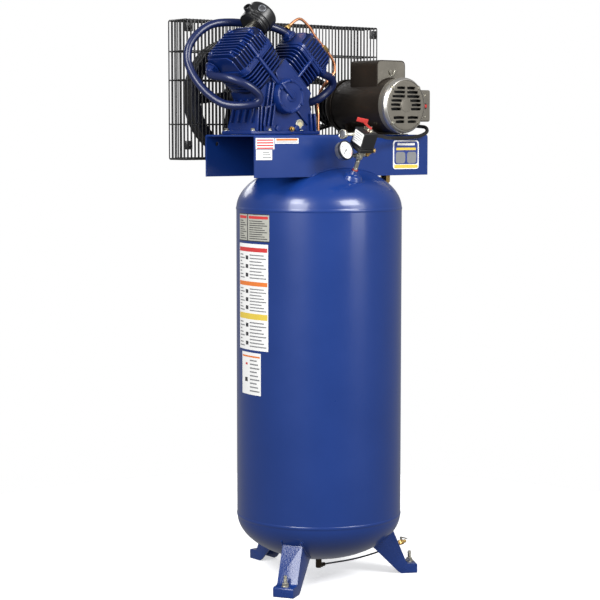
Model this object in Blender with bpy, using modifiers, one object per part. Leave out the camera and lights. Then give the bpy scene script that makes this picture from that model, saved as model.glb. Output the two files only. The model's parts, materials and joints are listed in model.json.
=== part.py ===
"""Vertical tank compressor: a receiver on three legs, with a two-stage V pump and a belt-drive motor on top.

Metres, +Z up. Every piece is placed in the tank's own frame, whose origin is where the
tank's axis meets the floor; +X runs along the platform towards the motor and +Y towards
the belt guard. The empty called assembly carries that frame, and it is shifted so that the
whole object's outline is centred on the world origin.
"""

import math

import bmesh
import bpy
from mathutils import Matrix, Vector

# ---- driving dimensions -------------------------------------------------------------
GAP = 0.0003
RUNNING_GAP = 0.0005
TANK_AXIS = (0.0350, -0.0191)

TANK_RADIUS = 0.254
TANK_WALL = 0.004
HEAD_DEPTH = 0.140
LOWER_SEAM = 0.200
UPPER_SEAM = 1.146
BUNG_RADIUS = 0.024
DRAIN_HOLE_RADIUS = 0.011

LEG_ANGLES = {"leg_front_left": 210, "leg_front_right": 330, "leg_rear": 90}
LEG_WIDTH = 0.064
LEG_SHEET = 0.0045
TANK_FACETS = 44
HEAD_FACETS = 6
FOOT_REACH = 0.309
FOOT_HEIGHT = 0.030
ANCHOR_RADIUS = 0.290

PLATFORM_LENGTH = 0.686
PLATFORM_WIDTH = 0.240
PLATFORM_TOP = 1.370
PLATFORM_DEPTH = 0.125
PLATFORM_SHEET = 0.005

CRANK_X = -0.187
CRANK_Z = 1.483
BANK_TILT = math.radians(45)
CASE_HALF_DEPTH = 0.068
CASE_WALL = 0.008
DECK = 0.078
THROW = 0.035
ROD_LENGTH = 0.1015
CRANK_PIN_RADIUS = 0.014
WRIST_PIN_RADIUS = 0.007
CYLINDER_TOP = 0.158
HEAD_TOP = 0.226

BANKS = {
    "low_stage": {"side": -1, "y": -0.007, "bore": 0.0500, "fin": 0.077, "head": 0.075, "deck_hole": 0.0555},
    "high_stage": {"side": 1, "y": 0.007, "bore": 0.0300, "fin": 0.064, "head": 0.064, "deck_hole": 0.0365},
}
FIN_COUNT = 5
FIN_THICKNESS = 0.004

FLYWHEEL_RADIUS = 0.178
FLYWHEEL_INNER = 0.146
FLYWHEEL_Y = 0.180
RIM_WIDTH = 0.045
SPOKES = 5
SPOKE_START = math.radians(70)
BELT_OFFSET = 0.0095
BELT_WIDTH = 0.013
BELT_THICKNESS = 0.008
GROOVE_DEPTH = 0.0105
SHAFT_RADIUS = 0.016

MOTOR_X = 0.208
MOTOR_Z = 1.459
MOTOR_RADIUS = 0.0825
MOTOR_FRONT = -0.166
MOTOR_REAR = 0.128
MOTOR_SHAFT_RADIUS = 0.008
BELL_LENGTH = 0.034
PULLEY_RADIUS = 0.058
CAPACITOR_TOP = 1.598

GUARD_LEFT = -0.396
GUARD_RIGHT = 0.367
GUARD_FRONT = 0.140
GUARD_REAR = 0.240
GUARD_BOTTOM = 1.294
GUARD_TOP = 1.714
GUARD_WIRE = 0.004
GUARD_COLUMNS = 16
GUARD_ROWS = 3

FILTER_RADIUS = 0.046
FILTER_ALONG_BANK = 0.195
INTERCOOLER_RADIUS = 0.0120
DISCHARGE_RADIUS = 0.0125
COPPER_RADIUS = 0.0042
CONDUIT_RADIUS = 0.0055
DRAIN_TUBE_RADIUS = 0.0026

SWITCH_LEAN = math.radians(25)
SWITCH_FOOT = (-0.022, -0.1845, 1.248)

# ---- materials: colour, roughness, metallic ------------------------------------------
FINISHES = {
    "blue_paint": ((0.025, 0.060, 0.300), 0.32, 0.0),
    "dark_paint": ((0.012, 0.016, 0.045), 0.45, 0.0),
    "black_wire": ((0.010, 0.010, 0.010), 0.45, 0.0),
    "black_plastic": ((0.014, 0.014, 0.014), 0.50, 0.0),
    "motor_paint": ((0.045, 0.040, 0.034), 0.42, 0.0),
    "motor_cast": ((0.250, 0.240, 0.210), 0.45, 0.2),
    "zinc": ((0.620, 0.620, 0.600), 0.30, 1.0),
    "steel": ((0.520, 0.530, 0.540), 0.32, 1.0),
    "cast_iron": ((0.120, 0.120, 0.125), 0.55, 0.6),
    "aluminium": ((0.700, 0.700, 0.710), 0.35, 1.0),
    "brass": ((0.720, 0.480, 0.180), 0.28, 1.0),
    "copper": ((0.800, 0.360, 0.200), 0.28, 1.0),
    "rubber": ((0.012, 0.012, 0.012), 0.80, 0.0),
    "red_plastic": ((0.600, 0.030, 0.030), 0.40, 0.0),
    "white_enamel": ((0.800, 0.800, 0.780), 0.40, 0.0),
    "paper": ((0.650, 0.560, 0.400), 0.90, 0.0),
    "glass": ((0.750, 0.700, 0.450), 0.10, 0.0),
}

X_AXIS = Vector((1, 0, 0))
Y_AXIS = Vector((0, 1, 0))
Z_AXIS = Vector((0, 0, 1))


# ---- scene, materials and placing ------------------------------------------------------
def clear_scene():
    for thing in list(bpy.data.objects):
        bpy.data.objects.remove(thing, do_unlink=True)


def new_collection(name):
    made = bpy.data.collections.new(name)
    bpy.context.scene.collection.children.link(made)
    return made


def material(name):
    found = bpy.data.materials.get(name)
    if found:
        return found
    colour, roughness, metallic = FINISHES[name]
    made = bpy.data.materials.new(name)
    made.use_nodes = True
    shader = made.node_tree.nodes["Principled BSDF"]
    shader.inputs["Base Color"].default_value = (*colour, 1)
    shader.inputs["Roughness"].default_value = roughness
    shader.inputs["Metallic"].default_value = metallic
    made.diffuse_color = (*colour, 1)
    return made


clear_scene()
PARTS = new_collection("vertical_tank_compressor")
CUTTERS = new_collection("cutters")
ASSEMBLY = bpy.data.objects.new("assembly", None)
ASSEMBLY.location = (*TANK_AXIS, 0)
PARTS.objects.link(ASSEMBLY)


def empty(name, place, parent=None):
    made = bpy.data.objects.new(name, None)
    made.parent = parent or ASSEMBLY
    made.matrix_local = place
    PARTS.objects.link(made)
    return made


def put(name, mesh, finish, place=None, parent=None):
    """One named piece, or a cutter where finish is None, at place in its parent's frame."""
    made = bpy.data.objects.new(name, mesh)
    made.parent = parent or ASSEMBLY
    made.matrix_local = place or Matrix.Identity(4)
    if finish is None:
        CUTTERS.objects.link(made)
        made.hide_render = True
        made.display_type = "WIRE"
    else:
        PARTS.objects.link(made)
        made.data.materials.append(material(finish))
    return made


def at(x, y, z):
    return Matrix.Translation((x, y, z))


def facing(point, direction, up=Z_AXIS):
    """A frame at point whose +Z runs along direction, with +Y as near to up as it can be."""
    along = Vector(direction).normalized()
    near = Vector(up)
    if abs(along.dot(near)) > 0.999:
        near = Y_AXIS
    across = near.cross(along).normalized()
    upward = along.cross(across)
    turn = Matrix((across, upward, along)).transposed().to_4x4()
    return Matrix.Translation(point) @ turn


def smooth(mesh, angle=35):
    mesh.shade_smooth()
    mesh.set_sharp_from_angle(angle=math.radians(angle))


def boolean(target, tool, operation="DIFFERENCE"):
    step = target.modifiers.new(tool.name, "BOOLEAN")
    step.object = tool
    step.operation = operation
    step.solver = "EXACT"
    return target


# ---- shapes ------------------------------------------------------------------------------
def box_mesh(size, centre=(0, 0, 0), bevel=0.0):
    bm = bmesh.new()
    bmesh.ops.create_cube(bm, size=1)
    bmesh.ops.scale(bm, vec=size, verts=bm.verts)
    bmesh.ops.translate(bm, vec=centre, verts=bm.verts)
    if bevel:
        bmesh.ops.bevel(bm, geom=bm.edges[:], offset=bevel, segments=1, affect="EDGES")
    mesh = bpy.data.meshes.new("box")
    bm.to_mesh(mesh)
    bm.free()
    return mesh


def rod_mesh(radius, low, high, sides=24, tip=None):
    """A cylinder, or a cone with the radius tip at its high end, along Z."""
    bm = bmesh.new()
    bmesh.ops.create_cone(
        bm,
        cap_ends=True,
        segments=sides,
        radius1=radius,
        radius2=radius if tip is None else tip,
        depth=high - low,
    )
    bmesh.ops.translate(bm, vec=(0, 0, (low + high) / 2), verts=bm.verts)
    mesh = bpy.data.meshes.new("rod")
    bm.to_mesh(mesh)
    bm.free()
    smooth(mesh)
    return mesh


def turned(name, profile, finish, place=None, parent=None, steps=32, closed=False):
    """A turned piece about Z: profile is (radius, height), from the top down the outer side."""
    mesh = bpy.data.meshes.new(name)
    edges = [(i, i + 1) for i in range(len(profile) - 1)]
    if closed:
        edges.append((len(profile) - 1, 0))
    mesh.from_pydata([(radius, 0, height) for radius, height in profile], edges, [])
    made = put(name, mesh, finish, place, parent)
    screw = made.modifiers.new("turn", "SCREW")
    screw.steps = steps
    screw.render_steps = steps
    screw.use_merge_vertices = True
    screw.merge_threshold = 0.00001
    screw.use_smooth_shade = True
    return made


def ring_profile(inner, outer, low, high):
    return [(inner, high), (outer, high), (outer, low), (inner, low)]


def outline_mesh(loops, thickness):
    """A flat plate in XY, centred on Z = 0: the first loop is its edge and the others are holes."""
    curve = bpy.data.curves.new("outline", "CURVE")
    curve.dimensions = "2D"
    curve.fill_mode = "BOTH"
    curve.extrude = thickness / 2
    for loop in loops:
        spline = curve.splines.new("POLY")
        spline.points.add(len(loop) - 1)
        for point, (x, y) in zip(spline.points, loop):
            point.co = (x, y, 0, 1)
        spline.use_cyclic_u = True
    return curve_to_mesh(curve)


def curve_to_mesh(curve):
    holder = bpy.data.objects.new("holder", curve)
    bpy.context.scene.collection.objects.link(holder)
    graph = bpy.context.evaluated_depsgraph_get()
    mesh = bpy.data.meshes.new_from_object(holder.evaluated_get(graph))
    bpy.data.objects.remove(holder)
    bm = bmesh.new()
    bm.from_mesh(mesh)
    bmesh.ops.remove_doubles(bm, verts=bm.verts, dist=0.00001)
    bmesh.ops.recalc_face_normals(bm, faces=bm.faces)
    bm.to_mesh(mesh)
    bm.free()
    mesh.materials.clear()
    return mesh


def smooth_route(points, spacing):
    """Straight at both ends, and evenly spaced points on a smooth curve through the others."""
    knots = [Vector(p) for p in points]
    dense = []
    for before, start, end, after in zip(knots, knots[1:], knots[2:], knots[3:]):
        for i in range(16):
            t = i / 16
            a = 2 * start
            b = (end - before) * t
            c = (2 * before - 5 * start + 4 * end - after) * t * t
            d = (3 * start - before - 3 * end + after) * t * t * t
            dense.append((a + b + c + d) / 2)
    dense.append(knots[-2])
    length = sum((q - p).length for p, q in zip(dense, dense[1:]))
    count = max(2, round(length / spacing))
    route = [dense[0]]
    travelled = 0.0
    for p, q in zip(dense, dense[1:]):
        step = (q - p).length
        while len(route) < count and travelled + step >= length * len(route) / count:
            share = (length * len(route) / count - travelled) / step
            route.append(p.lerp(q, share))
        travelled += step
    route.append(dense[-1])
    return [knots[0]] + route + [knots[-1]]


def tube(name, points, radius, finish, spacing=None, parent=None, resolution=1):
    """A round tube along a smooth route through the given points."""
    route = smooth_route(points, spacing or radius * 3)
    curve = bpy.data.curves.new(name, "CURVE")
    curve.dimensions = "3D"
    curve.bevel_depth = radius
    curve.bevel_resolution = resolution
    curve.use_fill_caps = True
    spline = curve.splines.new("POLY")
    spline.points.add(len(route) - 1)
    for point, place in zip(spline.points, route):
        point.co = (*place, 1)
    return put(name, curve, finish, None, parent)


def arc(centre, radius, start, end, count):
    """Points on a circle from one angle to another, in degrees."""
    angles = [math.radians(start + (end - start) * i / (count - 1)) for i in range(count)]
    return [(centre[0] + radius * math.cos(a), centre[1] + radius * math.sin(a)) for a in angles]


def circle(centre, radius, count):
    return arc(centre, radius, 0, 360 - 360 / count, count)


def rectangle(left, right, low, high):
    return [(left, low), (right, low), (right, high), (left, high)]


def hexagon_mesh(across_flats, low, high):
    mesh = rod_mesh(across_flats / math.sqrt(3), low, high, sides=6)
    mesh.shade_flat()
    return mesh


def cylinder_between(name, start, end, radius, finish, sides=24, parent=None):
    length = (Vector(end) - Vector(start)).length
    place = facing(start, Vector(end) - Vector(start))
    return put(name, rod_mesh(radius, 0, length, sides), finish, place, parent)


# ---- tank ----------------------------------------------------------------------------------
def head_arc(radius, depth, seam, direction, count, inner_edge=0.0):
    """Points of an elliptical tank head from its rim to its centre, or to inner_edge."""
    last = math.acos(inner_edge / radius)
    points = []
    for i in range(count + 1):
        angle = last * i / count
        points.append((radius * math.cos(angle), seam + direction * depth * math.sin(angle)))
    return points


def dome_height(radius_from_axis):
    share = radius_from_axis / TANK_RADIUS
    return UPPER_SEAM + HEAD_DEPTH * math.sqrt(1 - share * share)


def belly_height(radius_from_axis):
    share = radius_from_axis / TANK_RADIUS
    return LOWER_SEAM - HEAD_DEPTH * math.sqrt(1 - share * share)


def tank_cutter():
    """The tank's outside with the usual gap, for cutting what is welded to it."""
    radius = TANK_RADIUS + 2 * GAP
    depth = HEAD_DEPTH + 2 * GAP
    top = head_arc(radius, depth, UPPER_SEAM, 1, HEAD_FACETS)
    low = head_arc(radius, depth, LOWER_SEAM, -1, HEAD_FACETS, BUNG_RADIUS)
    top[-1] = (0, top[-1][1])
    low.append((0, low[-1][1]))
    return turned("tank_outside", top[::-1] + low, None, steps=TANK_FACETS)


def make_tank():
    outer_top = head_arc(TANK_RADIUS, HEAD_DEPTH, UPPER_SEAM, 1, HEAD_FACETS)
    outer_low = head_arc(TANK_RADIUS, HEAD_DEPTH, LOWER_SEAM, -1, HEAD_FACETS, BUNG_RADIUS)
    inner = TANK_RADIUS - TANK_WALL
    depth = HEAD_DEPTH - TANK_WALL
    inner_low = head_arc(inner, depth, LOWER_SEAM, -1, 3, DRAIN_HOLE_RADIUS)
    inner_top = head_arc(inner, depth, UPPER_SEAM, 1, 3)
    outer_top[-1] = (0, outer_top[-1][1])
    inner_top[-1] = (0, inner_top[-1][1])
    bung_top = outer_low[-1][1]
    bung_low = LOWER_SEAM - HEAD_DEPTH - 0.006
    bung = [(BUNG_RADIUS, bung_low), (DRAIN_HOLE_RADIUS, bung_low)]
    outer_low[-1] = (BUNG_RADIUS, bung_top)
    profile = outer_top[::-1] + outer_low + bung + inner_low[::-1] + inner_top
    shell = turned("tank_shell", profile, "blue_paint", steps=TANK_FACETS)
    boss = [
        (0, 0.016),
        (0.0130, 0.016),
        (0.0150, 0.008),
        (0.0240, 0.004),
        (0.0260, -0.030),
        (0, -0.030),
    ]
    boss_piece = turned("tank_top_boss", boss, None, switch_frame(0), steps=20)
    return boolean(shell, boss_piece, "UNION")


def make_leg(name, angle):
    """A pressed channel: an outer plate that turns out into a foot, with a gusset on each side."""
    turn = Matrix.Rotation(math.radians(angle), 4, "Z") @ Matrix.Rotation(math.radians(90), 4, "X")
    side = [
        (0.258, 0.0),
        (0.303, 0.0),
        (FOOT_REACH, 0.006),
        (FOOT_REACH, FOOT_HEIGHT - 0.005),
        (FOOT_REACH - 0.005, FOOT_HEIGHT),
        (0.276, FOOT_HEIGHT),
        (0.269, 0.036),
        (0.226, 0.150),
        (0.150, 0.150),
        (0.150, 0.092),
        (0.168, 0.086),
        (0.248, 0.006),
    ]
    inside = [
        (0.100, -0.020),
        (FOOT_REACH - LEG_SHEET, -0.020),
        (FOOT_REACH - LEG_SHEET, FOOT_HEIGHT - LEG_SHEET),
        (0.273, FOOT_HEIGHT - LEG_SHEET),
        (0.2645, 0.034),
        (0.2170, 0.160),
        (0.100, 0.160),
    ]
    leg = put(name, outline_mesh([side], LEG_WIDTH), "blue_paint", turn)
    hollow_width = LEG_WIDTH - 2 * LEG_SHEET
    hollow = put(f"{name}_hollow", outline_mesh([inside], hollow_width), None, turn)
    boolean(leg, hollow)
    bolt_place = Matrix.Rotation(math.radians(angle), 4, "Z") @ at(ANCHOR_RADIUS, 0, 0)
    hole = put(f"{name}_bolt_hole", rod_mesh(0.0065, 0.010, 0.050, 16), None, bolt_place)
    boolean(leg, hole)
    boolean(leg, OUTSIDE)
    return leg


def make_anchor_bolt(name, angle):
    place = Matrix.Rotation(math.radians(angle), 4, "Z") @ at(ANCHOR_RADIUS, 0, 0)
    seat = FOOT_HEIGHT + GAP
    profile = [
        (0, seat + 0.034),
        (0.0045, seat + 0.034),
        (0.0055, seat + 0.032),
        (0.0055, seat + 0.0025),
        (0.0130, seat + 0.0025),
        (0.0130, seat),
        (0.0055, seat),
        (0.0055, 0.004),
        (0, 0.004),
    ]
    bolt = turned(name, profile, "zinc", place, steps=12)
    nut = put(f"{name}_nut", hexagon_mesh(0.018, seat + 0.001, seat + 0.0125), None, place)
    return boolean(bolt, nut, "UNION")


def make_platform():
    half = PLATFORM_WIDTH / 2
    low = PLATFORM_TOP - PLATFORM_DEPTH
    outline = rectangle(-half, half, low, PLATFORM_TOP)
    inner = half - PLATFORM_SHEET
    inside = rectangle(-inner, inner, low - 0.02, PLATFORM_TOP - PLATFORM_SHEET)
    along = Matrix.Rotation(math.radians(90), 4, "Z") @ Matrix.Rotation(math.radians(90), 4, "X")
    platform = put("platform", outline_mesh([outline], PLATFORM_LENGTH), "blue_paint", along)
    hollow = put("platform_hollow", outline_mesh([inside], PLATFORM_LENGTH + 0.02), None, along)
    boolean(platform, hollow)
    boolean(platform, OUTSIDE)
    tube_hole = put("platform_tube_hole", rod_mesh(0.015, 1.35, 1.39, 16), None, at(*DROP_POINT, 0))
    boolean(platform, tube_hole)
    line_hole = put("platform_line_hole", rod_mesh(0.006, 1.35, 1.39, 12), None, at(*COPPER_DROP, 0))
    boolean(platform, line_hole)
    hole_place = facing((-0.300, 0, 1.340), Y_AXIS)
    rear_hole = put("platform_rear_hole", rod_mesh(0.005, 0.10, 0.14, 12), None, hole_place)
    return boolean(platform, rear_hole)


# ---- drain -----------------------------------------------------------------------------------
DRAIN_ELBOW_Z = 0.029
DRAIN_VALVE = Vector((0.292, -0.062, 0.070))
DRAIN_VALVE_AXIS = Vector((0.90, -0.10, 0.12)).normalized()


def make_drain():
    top = LOWER_SEAM - HEAD_DEPTH + 0.004
    elbow = put("drain_elbow", rod_mesh(0.0095, DRAIN_ELBOW_Z - 0.008, top, 16), "brass")
    arm = put("drain_elbow_arm", rod_mesh(0.0065, 0, 0.024, 12), None, facing((0, 0, DRAIN_ELBOW_Z), X_AXIS))
    boolean(elbow, arm, "UNION")
    route = [
        (0.0243, 0.0, DRAIN_ELBOW_Z),
        (0.060, -0.004, 0.029),
        (0.120, -0.018, 0.032),
        (0.175, -0.036, 0.041),
        (0.220, -0.050, 0.052),
        DRAIN_VALVE - DRAIN_VALVE_AXIS * 0.030,
        DRAIN_VALVE - DRAIN_VALVE_AXIS * (0.020 + GAP),
    ]
    tube("drain_tube", route, DRAIN_TUBE_RADIUS, "dark_paint", 0.012)
    profile = [
        (0, 0.018),
        (0.0055, 0.018),
        (0.0055, 0.008),
        (0.0085, 0.008),
        (0.0085, -0.008),
        (0.0060, -0.008),
        (0.0060, -0.020),
        (0, -0.020),
    ]
    turned("drain_valve_body", profile, "brass", facing(DRAIN_VALVE, DRAIN_VALVE_AXIS), steps=16)
    stem_foot = DRAIN_VALVE + Z_AXIS * 0.0096
    handle = put("drain_valve_handle", rod_mesh(0.0035, 0, 0.008, 12), "zinc", facing(stem_foot, Z_AXIS))
    lever_size = (0.0300, 0.0060, 0.0022)
    lever_place = facing(stem_foot, Z_AXIS, X_AXIS)
    lever = put("drain_lever_arm", box_mesh(lever_size, (0.0120, 0, 0.0070)), None, lever_place)
    return boolean(handle, lever, "UNION")


# ---- pump --------------------------------------------------------------------------------------
def bank_frame(bank):
    """Z out along the cylinder's axis from the crank's axis, and Y to the back."""
    tilt = Matrix.Rotation(bank["side"] * BANK_TILT, 4, "Y")
    return at(CRANK_X, bank["y"], CRANK_Z) @ tilt


def crank_frame(y=0.0):
    """Z to the back along the crank's axis."""
    return facing((CRANK_X, y, CRANK_Z), Y_AXIS)


def case_outline(inset):
    """Half of the crankcase's section is mirrored: two 45 degree decks, a waist and a spread base."""
    base = PLATFORM_TOP + GAP - CRANK_Z
    peak = (DECK - inset) * math.sqrt(2)
    half = [
        (0.0995 - inset, peak - (0.0995 - inset)),
        (0.0880 - inset, -0.012),
        (0.1160 - inset, base + 0.014),
        (0.1160 - inset, base + (inset if inset else 0.0)),
    ]
    right = [(x, z) for x, z in half]
    left = [(-x, z) for x, z in reversed(half)]
    return [(0, peak)] + right + left


def make_crankcase():
    across = at(CRANK_X, 0, CRANK_Z) @ Matrix.Rotation(math.radians(90), 4, "X")
    case = put("crankcase", outline_mesh([case_outline(0)], 2 * CASE_HALF_DEPTH), "blue_paint", across)
    base = PLATFORM_TOP + GAP
    flange_size = (0.262, 2 * CASE_HALF_DEPTH + 0.010, 0.012)
    flange = put("case_flange", box_mesh(flange_size, (CRANK_X, 0, base + 0.006), 0.002), None)
    boolean(case, flange, "UNION")
    cavity_depth = 2 * (CASE_HALF_DEPTH - CASE_WALL)
    cavity = put("case_cavity", outline_mesh([case_outline(CASE_WALL)], cavity_depth), None, across)
    boolean(case, cavity)
    front = put("case_front_hole", rod_mesh(0.0415, -0.08, -0.05, 32), None, crank_frame())
    boolean(case, front)
    rear = put("case_rear_hole", rod_mesh(0.0455, 0.05, 0.08, 32), None, crank_frame())
    boolean(case, rear)
    for key, bank in BANKS.items():
        hole_mesh = rod_mesh(bank["deck_hole"], 0.055, 0.100, 32)
        deck_hole = put(f"case_{key}_hole", hole_mesh, None, bank_frame(bank))
        boolean(case, deck_hole)
    glass_hole = put("case_glass_hole", rod_mesh(0.0115, -0.08, -0.05, 20), None, facing(GLASS_POINT, Y_AXIS))
    boolean(case, glass_hole)
    plug_hole = put("case_plug_hole", rod_mesh(0.0095, -0.02, 0.02, 16), None, PLUG_FRAME)
    return boolean(case, plug_hole)


GLASS_POINT = (CRANK_X + 0.052, 0.0, CRANK_Z - 0.082)
PLUG_FRAME = facing((CRANK_X + 0.096, -0.034, CRANK_Z - 0.040), Vector((1, 0, 0.25)))
DROP_POINT = (-0.045, 0.095)
COPPER_DROP = (0.023, 0.032)


def make_crank_covers():
    cover = [
        (0, 0.0120),
        (0.0440, 0.0120),
        (0.0520, 0.0080),
        (0.0540, GAP),
        (0.0410, GAP),
        (0.0410, -0.0060),
        (0, -0.0060),
    ]
    cover_place = facing((CRANK_X, -CASE_HALF_DEPTH, CRANK_Z), -Y_AXIS)
    turned("crankcase_front_cover", cover, "blue_paint", cover_place, steps=28)
    carrier = [
        (0.0205, 0.049),
        (0.0300, 0.049),
        (0.0360, 0.014),
        (0.0600, 0.010),
        (0.0600, GAP),
        (0.0450, GAP),
        (0.0450, -0.010),
        (0.0205, -0.010),
    ]
    carrier_place = facing((CRANK_X, CASE_HALF_DEPTH, CRANK_Z), Y_AXIS)
    turned("bearing_carrier", carrier, "blue_paint", carrier_place, steps=24, closed=True)


def make_crankshaft():
    """A round web and its journal: the crank pin is a separate piece, where the linkage is opened."""
    web_front = 0.022
    profile = [
        (0, 0.2090),
        (SHAFT_RADIUS, 0.2090),
        (SHAFT_RADIUS, 0.1180),
        (0.0200, 0.1160),
        (0.0200, web_front + 0.016),
        (0.0500, web_front + 0.014),
        (0.0500, web_front),
        (0, web_front),
    ]
    return turned("crankshaft", profile, "steel", crank_frame(), steps=24)


def wrist_height(bank):
    """Where the wrist pin stands along its bank with the crank pin at the bottom."""
    pin_across = THROW * math.sin(BANK_TILT)
    pin_along = -THROW * math.cos(BANK_TILT)
    return pin_along + math.sqrt(ROD_LENGTH ** 2 - pin_across ** 2)


def make_piston(key, bank):
    crown = wrist_height(bank) + 0.020
    skirt = crown - 0.040
    outer = bank["bore"] - RUNNING_GAP
    inner = outer - 0.006
    profile = [
        (0, crown),
        (outer, crown),
        (outer, skirt),
        (inner, skirt),
        (inner, crown - 0.008),
        (0, crown - 0.008),
    ]
    piston = turned(f"{key}_piston", profile, "aluminium", bank_frame(bank), steps=20)
    pin_frame = bank_frame(bank) @ facing((0, 0, wrist_height(bank)), Y_AXIS, Z_AXIS)
    half = inner + 0.002
    pin = put(f"{key}_wrist_pin", rod_mesh(WRIST_PIN_RADIUS, -half, half, 16), None, pin_frame)
    return boolean(piston, pin, "UNION")


def make_connecting_rod(key, bank):
    """From the wrist pin to a half bearing over the crank pin, which points straight down."""
    pin = Vector((CRANK_X, bank["y"], CRANK_Z - THROW))
    wrist = bank_frame(bank) @ Vector((0, 0, wrist_height(bank)))
    frame = facing(pin, wrist - pin, Y_AXIS)
    flat = frame @ Matrix.Rotation(math.radians(90), 4, "X")
    eye = WRIST_PIN_RADIUS + GAP
    shank = box_mesh((0.015, 0.008, ROD_LENGTH - 0.016), (0, 0, ROD_LENGTH / 2))
    rod = put(f"{key}_connecting_rod", shank, "aluminium", frame)
    small = put(f"{key}_rod_small_end", outline_mesh([circle((0, ROD_LENGTH), 0.012, 24)], 0.012), None, flat)
    boolean(rod, small, "UNION")
    big = put(f"{key}_rod_big_end", outline_mesh([circle((0, 0), 0.021, 28)], 0.012), None, flat)
    boolean(rod, big, "UNION")
    small_hole = put(f"{key}_rod_eye", outline_mesh([circle((0, ROD_LENGTH), eye, 16)], 0.03), None, flat)
    boolean(rod, small_hole)
    bearing = CRANK_PIN_RADIUS + GAP
    big_hole = put(f"{key}_rod_bearing", outline_mesh([circle((0, 0), bearing, 24)], 0.03), None, flat)
    boolean(rod, big_hole)
    cap = put(f"{key}_rod_cap_line", box_mesh((0.06, 0.06, 0.06), (0, 0, 0.006 - 0.03)), None, frame)
    return boolean(rod, cap)


def make_cylinder(key, bank):
    wall = 0.0065
    barrel = bank["bore"] + wall
    spigot = bank["deck_hole"] - GAP
    low = DECK + GAP
    profile = [(bank["bore"], CYLINDER_TOP), (bank["fin"], CYLINDER_TOP)]
    pitch = (CYLINDER_TOP - low - FIN_THICKNESS) / FIN_COUNT
    for i in range(FIN_COUNT + 1):
        top = CYLINDER_TOP - pitch * i
        reach = bank["fin"] if i < FIN_COUNT else spigot + 0.004
        profile += [(reach, top), (reach, top - FIN_THICKNESS)]
        if i < FIN_COUNT:
            profile += [(barrel, top - FIN_THICKNESS), (barrel, top - pitch)]
    profile += [(spigot, low), (spigot, low - 0.006), (bank["bore"], low - 0.006)]
    profile = [p for i, p in enumerate(profile) if i == 0 or p != profile[i - 1]]
    return turned(f"{key}_cylinder", profile, "blue_paint", bank_frame(bank), steps=20, closed=True)


def make_head(key, bank):
    """An eight-sided head with a chamber below, and a boss for each of its tubes."""
    half = bank["head"]
    cut = 0.026
    low = CYLINDER_TOP + GAP
    loop = [
        (half - cut, -half),
        (half, -half + cut),
        (half, half - cut),
        (half - cut, half),
        (-half + cut, half),
        (-half, half - cut),
        (-half, -half + cut),
        (-half + cut, -half),
    ]
    middle = bank_frame(bank) @ at(0, 0, (low + HEAD_TOP) / 2)
    head = put(f"{key}_head", outline_mesh([loop], HEAD_TOP - low), "blue_paint", middle)
    chamber_size = (1.25 * half, 1.25 * half, 0.040)
    chamber = put(f"{key}_head_chamber", box_mesh(chamber_size, (0, 0, low + 0.018)), None, bank_frame(bank))
    return boolean(head, chamber)


def bank_point(key, along, outward, y):
    """A point on a bank: along its axis, outward from it on the side away from the other bank."""
    side = BANKS[key]["side"]
    local = Vector((side * outward, y - BANKS[key]["y"], along))
    if side < 0:
        local.x = -outward
    else:
        local.x = outward
    return bank_frame(BANKS[key]) @ local


def bank_direction(key, outward):
    """The unit direction outward from a bank's axis, away from the other bank, or inward if negative."""
    start = bank_point(key, 0, 0, 0)
    return (bank_point(key, 0, outward, 0) - start).normalized()


def make_pump():
    make_crankcase()
    make_crank_covers()
    make_crankshaft()
    for key, bank in BANKS.items():
        make_piston(key, bank)
        make_connecting_rod(key, bank)
        make_cylinder(key, bank)
        make_head(key, bank)
    pin_mesh = rod_mesh(CRANK_PIN_RADIUS, -0.0215, 0.0215, 24)
    put("crank_pin", pin_mesh, "steel", facing((CRANK_X, 0, CRANK_Z - THROW), Y_AXIS))
    glass_place = facing((GLASS_POINT[0], -CASE_HALF_DEPTH, GLASS_POINT[2]), -Y_AXIS)
    glass_profile = [
        (0, 0.0045),
        (0.0100, 0.0045),
        (0.0145, 0.0035),
        (0.0145, GAP),
        (0.0110, GAP),
        (0.0110, -0.0080),
        (0, -0.0080),
    ]
    turned("oil_sight_glass", glass_profile, "glass", glass_place, steps=20)
    plug_profile = [
        (0, 0.026),
        (0.0080, 0.026),
        (0.0110, 0.023),
        (0.0110, 0.012),
        (0.0090, 0.012),
        (0.0090, -0.008),
        (0, -0.008),
    ]
    turned("oil_fill_plug", plug_profile, "dark_paint", PLUG_FRAME, steps=16)


# ---- air filter ----------------------------------------------------------------------------------
def filter_frame():
    """Z runs from the low pressure head's inner side out along the filter."""
    start = bank_point("low_stage", FILTER_ALONG_BANK, -BANKS["low_stage"]["head"] - GAP, 0.000)
    return facing(start, bank_direction("low_stage", -1), -Y_AXIS)


def make_filter():
    place = filter_frame()
    base = [
        (0, 0.0210),
        (0.0180, 0.0210),
        (0.0180, 0.0190),
        (0.0400, 0.0190),
        (0.0400, 0.0130),
        (0.0140, 0.0120),
        (0.0140, 0),
        (0, 0),
    ]
    turned("air_filter_base", base, "black_plastic", place, steps=24)
    element = ring_profile(0.0190, 0.0340, 0.0193, 0.0700)
    turned("air_filter_element", element, "paper", place, steps=24, closed=True)
    cover = [
        (0, 0.0860),
        (0.0380, 0.0860),
        (FILTER_RADIUS, 0.0780),
        (FILTER_RADIUS, 0.0130),
        (0.0403, 0.0130),
        (0.0403, 0.0200),
        (0.0430, 0.0220),
        (0.0430, 0.0760),
        (0.0360, 0.0830),
        (0, 0.0830),
    ]
    turned("air_filter_cover", cover, "black_plastic", place, steps=28)


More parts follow.
